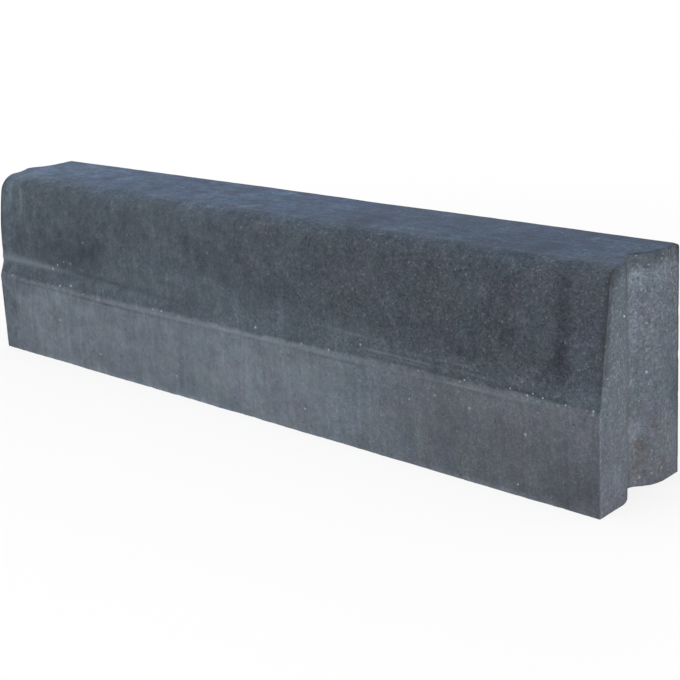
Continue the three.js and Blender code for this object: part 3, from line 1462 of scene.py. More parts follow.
class CastSkin(Effect):
    """The cement skin itself: clouds, streaks, sand, grit and pores over one colour.

    The heights are those of grain, mottles, streaks, grit and pores, in metres.
    """

    name = "cast_skin"
    inputs = {
        "Colour": GREY,
        "Warm Colour": GREY,
        "Warm Share": 0.0,
        "Hue Drift": 0.12,
        "Grit Colour": GREY,
        "Grain Size": 0.0034,
        "Grain Shade": 0.06,
        "Mottle Shade": 0.05,
        "Cloud Shade": 0.05,
        "Streak Shade": 0.05,
        "Streak Width": (0.004, 0.004, 0.05),
        "Slant": 0.0,
        "Grit Share": 0.2,
        "Pore Share": 0.2,
    }
    outputs = {"Colour": GREY, "Roughness": 0.0, "Height": 0.0}
    shift: ClassVar[Place] = (3.1, 1.7, 2.3)
    primary_powers: ClassVar[Colour] = (1.07, 1.0, 0.93)
    grit_cover: ClassVar[float] = 0.36
    pore_cover: ClassVar[float] = 0.4
    pore_shade: ClassVar[float] = 0.35
    plain_roughness: ClassVar[float] = 0.86
    heights: ClassVar[tuple[float, ...]] = (0.00014, 0.0005, 0.001, 0.0002, -0.0004)

    @classmethod
    def wire(cls, desk: NodeDesk, given: Sockets) -> dict[str, Socket]:
        """Lays the shared effects over each other.

        Args:
            desk: The group's node desk.
            given: The group's inputs.

        Returns:
            The socket for each output.
        """
        place = given["Vector"]
        moved = desk.vector("ADD", place, cls.shift)
        grain = SandGrain.use(desk, place, grain_size=given["Grain Size"])
        clouds = Clouding.use(desk, place, patch_size=0.085, detail=2.0, roughness=0.7)[0]
        mottle = Clouding.use(desk, place, patch_size=0.03, detail=4.0, roughness=1.0)[0]
        tints = Clouding.use(desk, moved, patch_size=0.045, detail=3.0, roughness=0.7)[0]
        streaks = DragStreaks.use(desk, place, width=given["Streak Width"], slant=given["Slant"])[0]
        share = given["Grit Share"]
        grit = ScatteredDots.use(desk, place, spacing=0.007, dot_size=0.0026, share=share)[0]
        share = given["Pore Share"]
        pores = ScatteredDots.use(desk, moved, spacing=0.0068, dot_size=0.003, share=share)[0]
        drift = HueDrift.use(desk, place, patch_size=0.035, strength=given["Hue Drift"])[0]
        mottled = desk.product(mottle, given["Mottle Shade"])
        streaked = desk.product(streaks, given["Streak Shade"])
        shade = desk.total(
            desk.product(grain["Shade"], given["Grain Shade"]),
            mottled,
            desk.product(clouds, given["Cloud Shade"]),
            streaked,
        )
        warm = desk.product(desk.spread(tints, -0.2, 1.2), given["Warm Share"])
        skin = desk.mix(warm, given["Colour"], given["Warm Colour"])
        skin = desk.vector("MULTIPLY", skin, drift)
        shades = [
            desk.math("EXPONENT", desk.product(shade, power), 0.0) for power in cls.primary_powers
        ]
        shades = desk.add("ShaderNodeCombineXYZ", dict(enumerate(shades))).outputs[0]
        skin = desk.vector("MULTIPLY", skin, shades)
        gritty = desk.mix(desk.product(grit, cls.grit_cover), skin, given["Grit Colour"])
        # The pores are painted darker: painted shade in the small holes
        hole = desk.scale(skin, cls.pore_shade)
        pored = desk.mix(desk.product(pores, cls.pore_cover), gritty, hole)
        raised = (grain["Height"], mottled, streaked, grit, pores)
        height = desk.total(*map(desk.product, raised, cls.heights))
        uneven = (desk.product(grain["Shade"], 0.05), desk.product(mottle, 0.03))
        roughness = desk.total(cls.plain_roughness, *uneven)
        return {"Colour": pored, "Roughness": roughness, "Height": height}


@dataclass(frozen=True)
class Patch:
    """A place where the concrete's colour is changed, by a factor for each primary."""

    centre: Place
    reach: Place
    factor: Colour


@dataclass(frozen=True)
class Speck:
    """A crumb of pale grit at one place."""

    centre: Place
    radius: float = 0.0014
    colour: Colour = (0.3, 0.33, 0.36)


class Finish:
    """A concrete finish, from its colours to its material."""

    name: str
    patches: tuple[Patch, ...] = ()
    specks: tuple[Speck, ...] = ()
    specular: ClassVar[float] = 0.2
    wobble_scale: ClassVar[float] = 55.0
    wobble: ClassVar[float] = 1.4
    rim_shade: ClassVar[float] = -0.34

    def material(self) -> bpy.types.Material:
        """Builds the material.

        Returns:
            A material with the finish's own nodes around one shader.
        """
        material = bpy.data.materials.new(self.name)
        desk = NodeDesk.clear(material)
        place = desk.add("ShaderNodeTexCoord").outputs["Object"]
        colour, roughness, height = self.surface(desk, place)
        bump = desk.add("ShaderNodeBump", {"Height": height, "Distance": 1.0, "Strength": 1.0})
        shader = desk.add(
            "ShaderNodeBsdfPrincipled",
            {
                "Base Color": colour,
                "Roughness": roughness,
                "Normal": bump.outputs["Normal"],
                "Specular IOR Level": self.specular,
            },
        )
        desk.add("ShaderNodeOutputMaterial", {"Surface": shader.outputs["BSDF"]})
        return material

    def surface(self, desk: NodeDesk, place: Socket) -> Coat:
        """Builds the colour, the roughness and the height that the shader reads."""
        raise NotImplementedError

    def patched(self, desk: NodeDesk, place: Socket, colour: Socket) -> Socket:
        """Lays the stains and pale patches over a colour.

        Args:
            desk: The material's node desk.
            place: The object coordinates.
            colour: The colour without them.

        Returns:
            The colour with them.
        """
        noise = desk.noise(place, self.wobble_scale, 3.0, 0.7)
        wobble = desk.centred(noise, self.wobble)
        for patch in self.patches:
            centre, reach = patch.centre, patch.reach
            spot = SoftSpot.use(desk, place, wobble=wobble, centre=centre, reach=reach)[0]
            changed = desk.vector("MULTIPLY", colour, patch.factor)
            colour = desk.mix(spot, colour, changed)
        return colour

    def covered(
        self, desk: NodeDesk, colour: Socket, covers: Sequence[tuple[Socket, float, Colour]]
    ) -> Socket:
        """Lays plain colours over a colour.

        Args:
            desk: The material's node desk.
            colour: The colour below.
            covers: The mask, the share and the colour of each.

        Returns:
            The colour with them.
        """
        for mask, share, cover in covers:
            colour = desk.mix(desk.product(mask, share), colour, cover)
        return colour

    def finished(self, desk: NodeDesk, place: Socket, colour: Socket) -> Socket:
        """Paints shade on the rims that turn away from the light, lightens the pale ones and sets
        the crumbs of pale grit.

        Args:
            desk: The material's node desk.
            place: The object coordinates.
            colour: The colour below.

        Returns:
            The finished colour.
        """
        rim = desk.product(desk.mark("rim"), self.rim_shade)
        colour = desk.scale(colour, desk.total(1.0, rim))
        for speck in self.specks:
            mask = PaleSpeck.use(desk, place, centre=speck.centre, radius=speck.radius)[0]
            colour = desk.mix(mask, colour, speck.colour)
        return colour


@dataclass
class RoadReading:
    """What the finish of the road side and top goes by at each point."""

    desk: NodeDesk
    place: Socket
    rough_end: Ramp = (-0.25, 0.38)

    def __post_init__(self) -> None:
        """Reads the place along and across the stone and the mesh's marks."""
        parts = self.desk.parts(self.place)
        self.along, self.across = parts["X"], parts["Y"]
        self.far = self.spread_along(self.rough_end)
        self.foot, self.crown, self.haze = map(self.desk.mark, ("foot", "crown", "haze"))

    def spread_along(self, ramp: Ramp) -> Socket:
        """Follows a ramp along the stone."""
        return self.desk.spread(self.along, *ramp)

    def on(self, mark: Socket, factor: Value) -> Socket:
        """Gives 1 away from a mark and a factor on it."""
        return self.desk.blend(mark, 1.0, factor)


@dataclass(frozen=True)
class RoadConcrete(Finish):
    """The dense dark skin of the road side and top, over a paler foot."""

    name: str = "road_concrete"
    face_colour: Colour = (0.0582, 0.0728, 0.0892)
    face_far_colour: Colour = (0.0486, 0.06, 0.073)
    face_warm_colour: Colour = (0.058, 0.06, 0.076)
    foot_colour: Colour = (0.124, 0.145, 0.173)
    foot_far_colour: Colour = (0.0835, 0.0998, 0.119)
    foot_tint: Colour = (1.06, 0.995, 0.985)
    brow_tint: Colour = (1.08, 0.99, 0.88)
    # The top's colours: the concrete's own grey with painted blue light from the sky
    sky_lit_top_colour: Colour = (0.0761, 0.11, 0.1665)
    sky_lit_top_middle_colour: Colour = (0.0584, 0.0864, 0.1382)
    sky_lit_top_far_colour: Colour = (0.0432, 0.065, 0.103)
    grit_colour: Colour = (0.26, 0.29, 0.33)
    face_grit_colour: Colour = (0.18, 0.203, 0.233)
    foot_grit_colour: Colour = (0.33, 0.365, 0.41)
    lip_colour: Colour = (0.185, 0.215, 0.25)
    shade_and_dark_colour: Colour = (0.03, 0.036, 0.045)
    broken_colour: Colour = (0.105, 0.108, 0.11)
    far_face: Ramp = (-0.25, 0.35)
    far_foot: Ramp = (0.04, 0.36)
    tinted_foot: Ramp = (0.18, 0.36)
    middle_top: Ramp = (-0.5, -0.26)
    far_top: Ramp = (-0.1, 0.28)
    brow: Ramp = (-0.042, -0.016)
    haze_lift: float = 1.34
    patches: tuple[Patch, ...] = (
        Patch((-0.482, -0.06, 0.208), (0.05, 0.06, 0.075), (1.46, 1.47, 1.48)),
        Patch((-0.468, -0.06, 0.216), (0.01, 0.05, 0.034), (0.86, 0.86, 0.87)),
        Patch((-0.449, -0.06, 0.204), (0.018, 0.05, 0.044), (1.19, 1.19, 1.18)),
        Patch((-0.43, -0.06, 0.212), (0.009, 0.05, 0.032), (0.88, 0.88, 0.89)),
        Patch((-0.456, -0.062, 0.18), (0.026, 0.05, 0.02), (0.85, 0.85, 0.86)),
        Patch((-0.416, -0.06, 0.214), (0.009, 0.05, 0.028), (1.14, 1.14, 1.13)),
        Patch((-0.48, -0.065, 0.135), (0.11, 0.08, 0.03), (1.14, 1.15, 1.16)),
        Patch((-0.486, -0.06, 0.23), (0.016, 0.05, 0.018), (1.15, 1.16, 1.17)),
        Patch((-0.488, -0.062, 0.192), (0.022, 0.05, 0.03), (0.87, 0.87, 0.88)),
        Patch((-0.5, -0.07, 0.1225), (0.013, 0.05, 0.013), (1.75, 1.75, 1.75)),
        Patch((-0.496, -0.075, 0.078), (0.018, 0.04, 0.018), (0.94, 0.94, 0.94)),
        Patch((-0.498, -0.062, 0.16), (0.02, 0.05, 0.016), (1.15, 1.15, 1.15)),
        Patch((-0.35, -0.065, 0.162), (0.11, 0.08, 0.045), (0.8, 0.8, 0.82)),
        Patch((-0.195, -0.065, 0.16), (0.13, 0.08, 0.055), (1.06, 1.06, 1.07)),
        Patch((-0.286, -0.065, 0.172), (0.056, 0.08, 0.048), (0.82, 0.82, 0.83)),
        Patch((-0.31, -0.07, 0.1205), (0.27, 0.05, 0.016), (1.2, 1.2, 1.2)),
        Patch((-0.478, -0.07, 0.1165), (0.04, 0.05, 0.01), (1.12, 1.12, 1.12)),
        Patch((-0.262, -0.074, 0.112), (0.026, 0.05, 0.012), (0.8, 0.8, 0.81)),
        Patch((-0.3, -0.055, 0.232), (0.19, 0.08, 0.03), (1.05, 1.05, 1.05)),
        Patch((0.45, -0.062, 0.19), (0.016, 0.06, 0.09), (0.66, 0.64, 0.68)),
        Patch((0.4455, -0.068, 0.149), (0.026, 0.06, 0.024), (0.86, 0.8, 0.84)),
        Patch((0.382, -0.062, 0.21), (0.03, 0.06, 0.036), (0.98, 0.88, 0.94)),
        Patch((0.418, -0.06, 0.226), (0.026, 0.06, 0.022), (1.27, 1.18, 1.28)),
        Patch((0.482, -0.062, 0.205), (0.02, 0.06, 0.04), (1.02, 0.95, 1.0)),
        Patch((0.474, -0.066, 0.168), (0.016, 0.06, 0.028), (1.22, 1.19, 1.22)),
        Patch((0.308, -0.066, 0.16), (0.034, 0.06, 0.044), (0.87, 0.81, 0.86)),
        Patch((0.374, -0.066, 0.17), (0.04, 0.06, 0.046), (0.81, 0.8, 0.82)),
        Patch((0.157, -0.06, 0.209), (0.034, 0.06, 0.018), (1.04, 0.95, 1.01)),
        Patch((0.015, -0.06, 0.192), (0.026, 0.06, 0.018), (1.02, 0.95, 1.0)),
        Patch((0.478, -0.072, 0.122), (0.046, 0.06, 0.018), (1.28, 1.26, 1.27)),
        Patch((-0.5, -0.075, 0.06), (0.06, 0.04, 0.15), (0.78, 0.79, 0.81)),
        Patch((-0.47, -0.075, 0.098), (0.07, 0.04, 0.026), (0.84, 0.84, 0.86)),
        Patch((-0.392, -0.075, 0.09), (0.06, 0.04, 0.03), (1.1, 1.1, 1.1)),
        Patch((-0.377, -0.075, 0.064), (0.016, 0.04, 0.03), (0.8, 0.8, 0.81)),
        Patch((-0.478, -0.075, 0.072), (0.03, 0.04, 0.022), (0.88, 0.88, 0.88)),
        Patch((-0.305, -0.075, 0.1085), (0.06, 0.04, 0.006), (0.86, 0.86, 0.86)),
        Patch((0.25, -0.075, 0.099), (0.06, 0.04, 0.012), (1.14, 1.14, 1.14)),
        Patch((0.47, -0.075, 0.099), (0.04, 0.04, 0.01), (1.1, 1.1, 1.1)),
        Patch((0.09, -0.075, 0.092), (0.085, 0.04, 0.014), (0.9, 0.9, 0.9)),
        Patch((0.41, -0.075, 0.098), (0.16, 0.04, 0.034), (1.15, 1.15, 1.15)),
        Patch((0.384, -0.075, 0.06), (0.08, 0.04, 0.046), (0.93, 0.88, 0.9)),
        Patch((0.48, -0.075, 0.07), (0.02, 0.04, 0.026), (1.24, 1.23, 1.22)),
        Patch((-0.022, -0.075, 0.06), (0.046, 0.04, 0.07), (1.2, 1.18, 1.16)),
        Patch((0.16, -0.075, 0.05), (0.06, 0.04, 0.05), (1.12, 1.13, 1.14)),
        Patch((0.462, -0.075, 0.018), (0.064, 0.04, 0.04), (0.79, 0.77, 0.78)),
        Patch((0.5, -0.075, 0.034), (0.03, 0.04, 0.032), (0.9, 0.89, 0.89)),
        Patch((0.14, -0.002, 0.25), (0.08, 0.045, 0.01), (0.82, 0.82, 0.83)),
        Patch((-0.31, -0.02, 0.25), (0.035, 0.02, 0.01), (0.9, 0.9, 0.94)),
        Patch((-0.37, 0.008, 0.25), (0.034, 0.026, 0.01), (1.16, 1.16, 1.16)),
        Patch((-0.334, 0.04, 0.25), (0.026, 0.012, 0.01), (0.84, 0.85, 0.93)),
        Patch((-0.225, 0.05, 0.25), (0.06, 0.022, 0.01), (0.9, 0.9, 0.94)),
        Patch((-0.01, 0.015, 0.25), (0.05, 0.06, 0.01), (0.92, 0.92, 0.93)),
        Patch((-0.018, -0.011, 0.25), (0.012, 0.005, 0.01), (1.22, 1.2, 1.14)),
        Patch((-0.04, 0.05, 0.25), (0.022, 0.006, 0.01), (1.16, 1.15, 1.12)),
        Patch((0.44, 0.05, 0.25), (0.04, 0.006, 0.01), (1.22, 1.18, 1.16)),
        Patch((0.32, 0.0, 0.25), (0.04, 0.05, 0.01), (0.88, 0.88, 0.88)),
        Patch((0.165, -0.008, 0.25), (0.05, 0.04, 0.01), (0.87, 0.87, 0.88)),
        Patch((0.035, -0.01, 0.25), (0.055, 0.04, 0.01), (0.92, 0.92, 0.94)),
        Patch((0.394, -0.01, 0.25), (0.04, 0.04, 0.01), (0.86, 0.86, 0.87)),
        Patch((-0.076, 0.008, 0.25), (0.036, 0.07, 0.01), (0.86, 0.86, 0.88)),
        Patch((-0.332, 0.045, 0.25), (0.034, 0.03, 0.01), (0.91, 0.91, 0.92)),
        Patch((0.494, -0.034, 0.248), (0.013, 0.018, 0.012), (0.82, 0.82, 0.78)),
        # A painted shadow along the groove's top edge
        Patch((0.486, 0.0165, 0.25), (0.005, 0.009, 0.004), (0.5, 0.56, 0.54)),
        Patch((-0.117, 0.001, 0.25), (0.017, 0.01, 0.01), (0.74, 0.76, 0.88)),
        Patch((-0.174, -0.015, 0.25), (0.01, 0.006, 0.01), (1.22, 1.2, 1.14)),
        Patch((0.06, 0.06, 0.25), (0.08, 0.03, 0.01), (0.88, 0.9, 1.0)),
        Patch((0.385, 0.02, 0.25), (0.075, 0.08, 0.01), (0.86, 0.86, 0.88)),
        Patch((0.465, 0.0, 0.25), (0.04, 0.07, 0.01), (1.16, 1.15, 1.12)),
    )
    specks: tuple[Speck, ...] = (
        Speck((-0.3697, -0.067, 0.1389), 0.0017, (0.24, 0.26, 0.29)),
        Speck((-0.3803, -0.066, 0.1323), 0.0022, (0.36, 0.39, 0.42)),
        Speck((-0.355, -0.067, 0.1452), 0.0015, (0.15, 0.17, 0.19)),
        Speck((-0.3394, -0.067, 0.1445), 0.0016, (0.18, 0.2, 0.22)),
        Speck((-0.36, -0.0735, 0.112), 0.0017, (0.27, 0.3, 0.33)),
        Speck((-0.337, -0.0723, 0.1151), 0.0017, (0.27, 0.3, 0.33)),
        Speck((-0.2758, -0.075, 0.1051), 0.0009),
        Speck((-0.4715, -0.0738, 0.1114), 0.0018, (0.24, 0.27, 0.29)),
        Speck((-0.4382, -0.073, 0.1166), 0.0009),
        Speck((-0.3656, -0.075, 0.062), 0.0015),
        Speck((-0.2808, -0.075, 0.0278), 0.0015),
        Speck((-0.3094, -0.065, 0.1777), 0.0015, (0.2, 0.22, 0.24)),
        Speck((-0.1645, -0.074, 0.1096), 0.0014, (0.4, 0.44, 0.47)),
        Speck((-0.148, -0.074, 0.1102), 0.0015, (0.48, 0.52, 0.55)),
        Speck((-0.126, -0.075, 0.027), 0.0012),
        Speck((0.212, -0.054, 0.217), 0.0013, (0.56, 0.59, 0.62)),
        Speck((0.335, -0.072, 0.1125), 0.001),
        Speck((0.393, -0.072, 0.115), 0.0009),
        Speck((0.4146, -0.073, 0.112), 0.0013),
        Speck((0.46, -0.073, 0.111), 0.0009),
        Speck((0.492, -0.074, 0.1118), 0.0018),
        Speck((0.421, -0.072, 0.115), 0.001),
        Speck((0.433, -0.072, 0.1128), 0.0011),
        Speck((0.442, -0.071, 0.117), 0.0008),
        Speck((0.36, -0.071, 0.12), 0.0008),
        Speck((0.4027, -0.075, 0.013), 0.0011),
        Speck((0.101, -0.075, 0.031), 0.0013),
        Speck((0.1425, -0.0742, 0.111), 0.0019, (0.3, 0.33, 0.36)),
        Speck((0.0222, -0.0716, 0.1168), 0.0018, (0.28, 0.31, 0.34)),
        Speck((0.0995, -0.074, 0.111), 0.0018, (0.22, 0.24, 0.27)),
        Speck((0.189, -0.07, 0.1247), 0.0016, (0.2, 0.22, 0.25)),
        Speck((0.3424, -0.075, 0.0835), 0.0017, (0.23, 0.25, 0.28)),
        Speck((0.4128, -0.075, 0.07), 0.0017, (0.23, 0.25, 0.27)),
        Speck((0.261, -0.075, 0.0766), 0.0016, (0.2, 0.22, 0.25)),
        Speck((0.2966, -0.075, 0.0882), 0.0016, (0.2, 0.22, 0.25)),
    )

    def base(self, at: RoadReading) -> Socket:
        """Mixes the colours of foot, face and top, the top's with painted blue sky light.

        Args:
            at: What the finish goes by.

        Returns:
            The concrete's plain colour.
        """
        desk = at.desk
        face = desk.mix(at.spread_along(self.far_face), self.face_colour, self.face_far_colour)
        face = desk.mix(at.haze, face, desk.scale(face, self.haze_lift))
        low = desk.mix(at.spread_along(self.far_foot), self.foot_colour, self.foot_far_colour)
        tinted = desk.vector("MULTIPLY", low, self.foot_tint)
        low = desk.mix(at.spread_along(self.tinted_foot), low, tinted)
        top = desk.mix(at.spread_along(self.middle_top), self.sky_lit_top_colour, self.sky_lit_top_middle_colour)
        top = desk.mix(at.spread_along(self.far_top), top, self.sky_lit_top_far_colour)
        tinted = desk.vector("MULTIPLY", top, self.brow_tint)
        top = desk.mix(desk.spread(at.across, *self.brow), tinted, top)
        return desk.mix(at.crown, desk.mix(at.foot, face, low), top)

    def shades(self, at: RoadReading) -> dict[str, Value]:
        """Sets how strongly each part of the skin shows, from place to place.

        Args:
            at: What the finish goes by.

        Returns:
            The values for the skin's inputs, by name in lower case.
        """
        desk = at.desk
        streak = desk.total(
            desk.blend(at.foot, 0.1, 0.09), at.spread_along((-0.38, -0.44, 0.0, 0.06))
        )
        slant = Clouding.use(desk, at.place, patch_size=0.35)[0]
        return {
            "warm_share": at.spread_along((-0.2, 0.3, 0.0, 0.34)),
            "hue_drift": desk.total(
                0.1,
                desk.product(at.crown, 0.11),
                desk.product(at.foot, at.far, 0.11),
                at.spread_along((0.36, 0.46, 0.0, 0.03)),
            ),
            "grit_colour": desk.mix(at.foot, self.face_grit_colour, self.foot_grit_colour),
            "grain_size": desk.blend(at.far, 0.0031, 0.0027),
            "grain_shade": desk.product(
                desk.blend(at.far, 0.1, 0.34),
                at.on(at.foot, desk.blend(at.far, 0.32, 0.52)),
                at.on(at.crown, at.spread_along((-0.48, -0.34, 1.2, 2.3))),
                at.on(at.crown, at.spread_along((-0.14, 0.1, 1.0, 0.38))),
                at.on(at.haze, 0.75),
            ),
            "mottle_shade": desk.product(
                desk.blend(at.far, 0.33, 0.28),
                at.on(at.foot, desk.blend(at.far, 0.8, 0.68)),
                at.on(at.crown, 1.25),
            ),
            "cloud_shade": desk.blend(at.crown, 0.06, 0.09),
            "streak_shade": desk.product(streak, at.on(at.crown, 0.1)),
            "streak_width": (0.0055, 0.0055, 0.06),
            "slant": desk.product(slant, 0.08),
            "grit_share": desk.product(
                desk.blend(at.foot, at.spread_along((-0.3, -0.05, 0.12, 0.26)), 0.42),
                at.on(at.crown, 0.3),
            ),
            "pore_share": desk.product(
                at.spread_along((-0.4, 0.1, 0.75, 1.0)),
                at.on(at.foot, 0.15),
                at.on(at.crown, 0.15),
            ),
        }

    def brushed(self, at: RoadReading) -> Socket:
        """Works out how the brush marks change the colour of the top.

        Args:
            at: What the finish goes by.

        Returns:
            A factor for the colour.
        """
        desk = at.desk
        marks = DragStreaks.use(desk, at.place, width=(0.045, 0.0058, 0.03))[0]
        depth = desk.product(
            at.spread_along((-0.46, -0.36, 0.08, 0.19)), at.spread_along((0.0, 0.12, 1.0, 0.62))
        )
        drawn = desk.vector("MULTIPLY", at.place, (0.15, 1.0, 1.0))
        strokes = ScatteredDots.use(desk, drawn, spacing=0.006, dot_size=0.004, share=0.5)[0]
        strokes = desk.product(strokes, at.crown, at.spread_along((-0.46, -0.34, 0.2, 1.0)))
        return desk.total(
            desk.total(1.0, desk.product(marks, at.crown, depth)),
            desk.product(strokes, at.spread_along((-0.1, 0.1, 0.3, 0.16))),
        )

    def surface(self, desk: NodeDesk, place: Socket) -> Coat:
        """Lays the skin over foot, face and top, then wear, rims and crumbs.

        Args:
            desk: The material's node desk.
            place: The object coordinates.

        Returns:
            The colour, the roughness and the height.
        """
        at = RoadReading(desk, place)
        base = self.patched(desk, place, self.base(at))
        cool = desk.math("MAXIMUM", at.foot, at.crown)
        warm = desk.mix(cool, self.face_warm_colour, base)
        skin = CastSkin.use(desk, place, colour=base, warm_colour=warm, **self.shades(at))
        colour = desk.scale(skin["Colour"], self.brushed(at))
        crumbs = ScatteredDots.use(desk, place, spacing=0.006, dot_size=0.003, share=0.45)[0]
        covers = (
            (desk.mark("lip"), 0.6, self.lip_colour),
            # Painted shade under the lip and in the crease, and the dark line above the pale foot
            (desk.mark("shade_and_dark_lines"), 0.6, self.shade_and_dark_colour),
            (desk.product(crumbs, desk.mark("speckled")), 0.55, self.grit_colour),
            (desk.mark("worn"), 0.12, self.lip_colour),
            (desk.mark("broken"), 0.4, self.broken_colour),
        )
        colour = self.finished(desk, place, self.covered(desk, colour, covers))
        return colour, skin["Roughness"], skin["Height"]


@dataclass(frozen=True)
class EndConcrete(Finish):
    """The sandy grey ends, with pits, pale grit and a few rusty stains."""

    name: str = "end_concrete"
    colour: Colour = (0.1418, 0.1665, 0.1958)
    low_colour: Colour = (0.1545, 0.167, 0.1975)
    grit_colour: Colour = (0.34, 0.36, 0.39)
    rim_colour: Colour = (0.42, 0.44, 0.46)
    shade_and_dark_colour: Colour = (0.038, 0.046, 0.058)
    broken_colour: Colour = (0.076, 0.096, 0.116)
    low_part: Ramp = (0.03, 0.12)
    darker_top_part: Ramp = (0.226, 0.252, 1.0, 0.64)
    upper_part: Ramp = (0.04, 0.16)
    rough_part: Ramp = (0.175, 0.2, 1.0, 1.15)
    shift: Place = (1.3, 2.7, 0.9)
    patches: tuple[Patch, ...] = (
        # The next five patches paint light on the wave's shoulder beside the strip, which faces the
        # lamps
        Patch((0.482, 0.012, 0.12), (0.03, 0.022, 0.3), (1.11, 1.11, 1.11)),
        Patch((0.482, 0.013, 0.205), (0.03, 0.014, 0.07), (1.21, 1.2, 1.19)),
        Patch((0.482, 0.011, 0.229), (0.03, 0.007, 0.01), (1.12, 1.13, 1.13)),
        Patch((0.483, 0.0125, 0.165), (0.03, 0.0055, 0.032), (1.17, 1.17, 1.17)),
        Patch((0.482, 0.011, 0.118), (0.03, 0.006, 0.022), (1.08, 1.08, 1.08)),
        # Painted shade beside the strip's turned-away edge
        Patch((0.5, -0.027, 0.218), (0.03, 0.0085, 0.022), (0.96, 0.95, 0.99)),
        Patch((0.5, 0.04, 0.2465), (0.03, 0.0085, 0.005), (0.7, 0.7, 0.7)),
        Patch((0.5, 0.046, 0.228), (0.03, 0.022, 0.013), (1.16, 1.17, 1.17)),
        Patch((0.5, -0.062, 0.152), (0.03, 0.009, 0.022), (0.84, 0.84, 0.85)),
        Patch((0.5, 0.06, 0.18), (0.03, 0.04, 0.07), (0.9, 0.9, 0.9)),
        Patch((0.488, 0.0172, 0.046), (0.03, 0.008, 0.012), (0.82, 0.75, 0.68)),
        Patch((0.485, 0.015, 0.027), (0.03, 0.008, 0.018), (1.07, 1.02, 0.93)),
        Patch((0.5, 0.0455, 0.0215), (0.03, 0.008, 0.01), (0.82, 0.79, 0.74)),
        Patch((0.498, 0.033, 0.068), (0.03, 0.011, 0.014), (0.9, 0.86, 0.82)),
        Patch((0.492, 0.028, 0.018), (0.03, 0.03, 0.03), (1.02, 0.95, 0.93)),
        Patch((0.495, 0.03, 0.222), (0.03, 0.05, 0.018), (1.2, 1.21, 1.2)),
        Patch((0.495, 0.026, 0.25), (0.03, 0.009, 0.007), (1.12, 0.96, 0.86)),
        Patch((0.485, 0.012, 0.064), (0.03, 0.011, 0.026), (1.38, 1.38, 1.37)),
        Patch((0.5, 0.068, 0.095), (0.03, 0.018, 0.055), (0.7, 0.7, 0.72)),
        # A painted shadow along the groove's top edge
        Patch((0.486, 0.0155, 0.249), (0.03, 0.009, 0.0036), (0.5, 0.56, 0.54)),
        Patch((0.49, 0.02, 0.2455), (0.03, 0.005, 0.004), (1.12, 1.0, 0.86)),
        Patch((0.4925, 0.0235, 0.2352), (0.03, 0.007, 0.002), (0.58, 0.58, 0.62)),
        Patch((0.5, -0.045, 0.038), (0.03, 0.014, 0.022), (1.2, 1.2, 1.19)),
        Patch((0.5, -0.045, 0.242), (0.03, 0.018, 0.014), (0.84, 0.84, 0.85)),
        # Painted light on the wave's shoulder beside the strip
        Patch((0.488, 0.016, 0.229), (0.03, 0.007, 0.005), (1.24, 1.25, 1.25)),
        Patch((0.487, 0.016, 0.009), (0.03, 0.01, 0.016), (1.34, 1.32, 1.24)),
    )
    specks: tuple[Speck, ...] = (
        Speck((0.5, -0.029, 0.1984), 0.0013, (0.8, 0.82, 0.84)),
        Speck((0.4965, -0.02, 0.1994), 0.001, (0.66, 0.69, 0.72)),
        Speck((0.488, 0.0174, 0.2362), 0.0011, (0.22, 0.24, 0.27)),
        Speck((0.494, 0.0247, 0.2374), 0.0011, (0.24, 0.26, 0.29)),
        Speck((0.4915, 0.021, 0.233), 0.001, (0.22, 0.24, 0.27)),
        Speck((0.499, 0.037, 0.2478), 0.0009, (0.3, 0.32, 0.34)),
        Speck((0.4997, 0.043, 0.245), 0.0009, (0.26, 0.28, 0.3)),
        Speck((0.5, -0.0496, 0.1509), 0.001, (0.36, 0.38, 0.41)),
        Speck((0.5, -0.0594, 0.1425), 0.0011, (0.42, 0.44, 0.47)),
        Speck((0.5, -0.0301, 0.1485), 0.0009, (0.4, 0.42, 0.45)),
        Speck((0.5, 0.0507, 0.1633), 0.0012, (0.32, 0.34, 0.37)),
        Speck((0.494, 0.0249, 0.1115), 0.0008, (0.4, 0.42, 0.45)),
        Speck((0.488, 0.0172, 0.0941), 0.0008, (0.38, 0.4, 0.43)),
        Speck((0.483, 0.0089, 0.054), 0.0009, (0.36, 0.37, 0.38)),
        Speck((0.485, 0.0145, 0.0529), 0.0009, (0.36, 0.37, 0.38)),
        Speck((0.5, 0.0417, 0.0163), 0.0014, (0.36, 0.35, 0.33)),
        Speck((0.493, 0.023, 0.125), 0.0012, (0.48, 0.5, 0.53)),
        Speck((0.497, 0.028, 0.0388), 0.001, (0.48, 0.5, 0.52)),
        Speck((0.4882, 0.0176, 0.0104), 0.0013, (0.42, 0.43, 0.44)),
        Speck((0.497, 0.0281, 0.0144), 0.001, (0.52, 0.54, 0.56)),
    )

    def surface(self, desk: NodeDesk, place: Socket) -> Coat:
        """Lays the skin, the stains, the crumbs and the broken edge.

        Args:
            desk: The material's node desk.
            place: The object coordinates.

        Returns:
            The colour, the roughness and the height.
        """
        up = desk.parts(place)["Z"]
        base = desk.mix(desk.spread(up, *self.low_part), self.low_colour, self.colour)
        base = self.patched(desk, place, base)
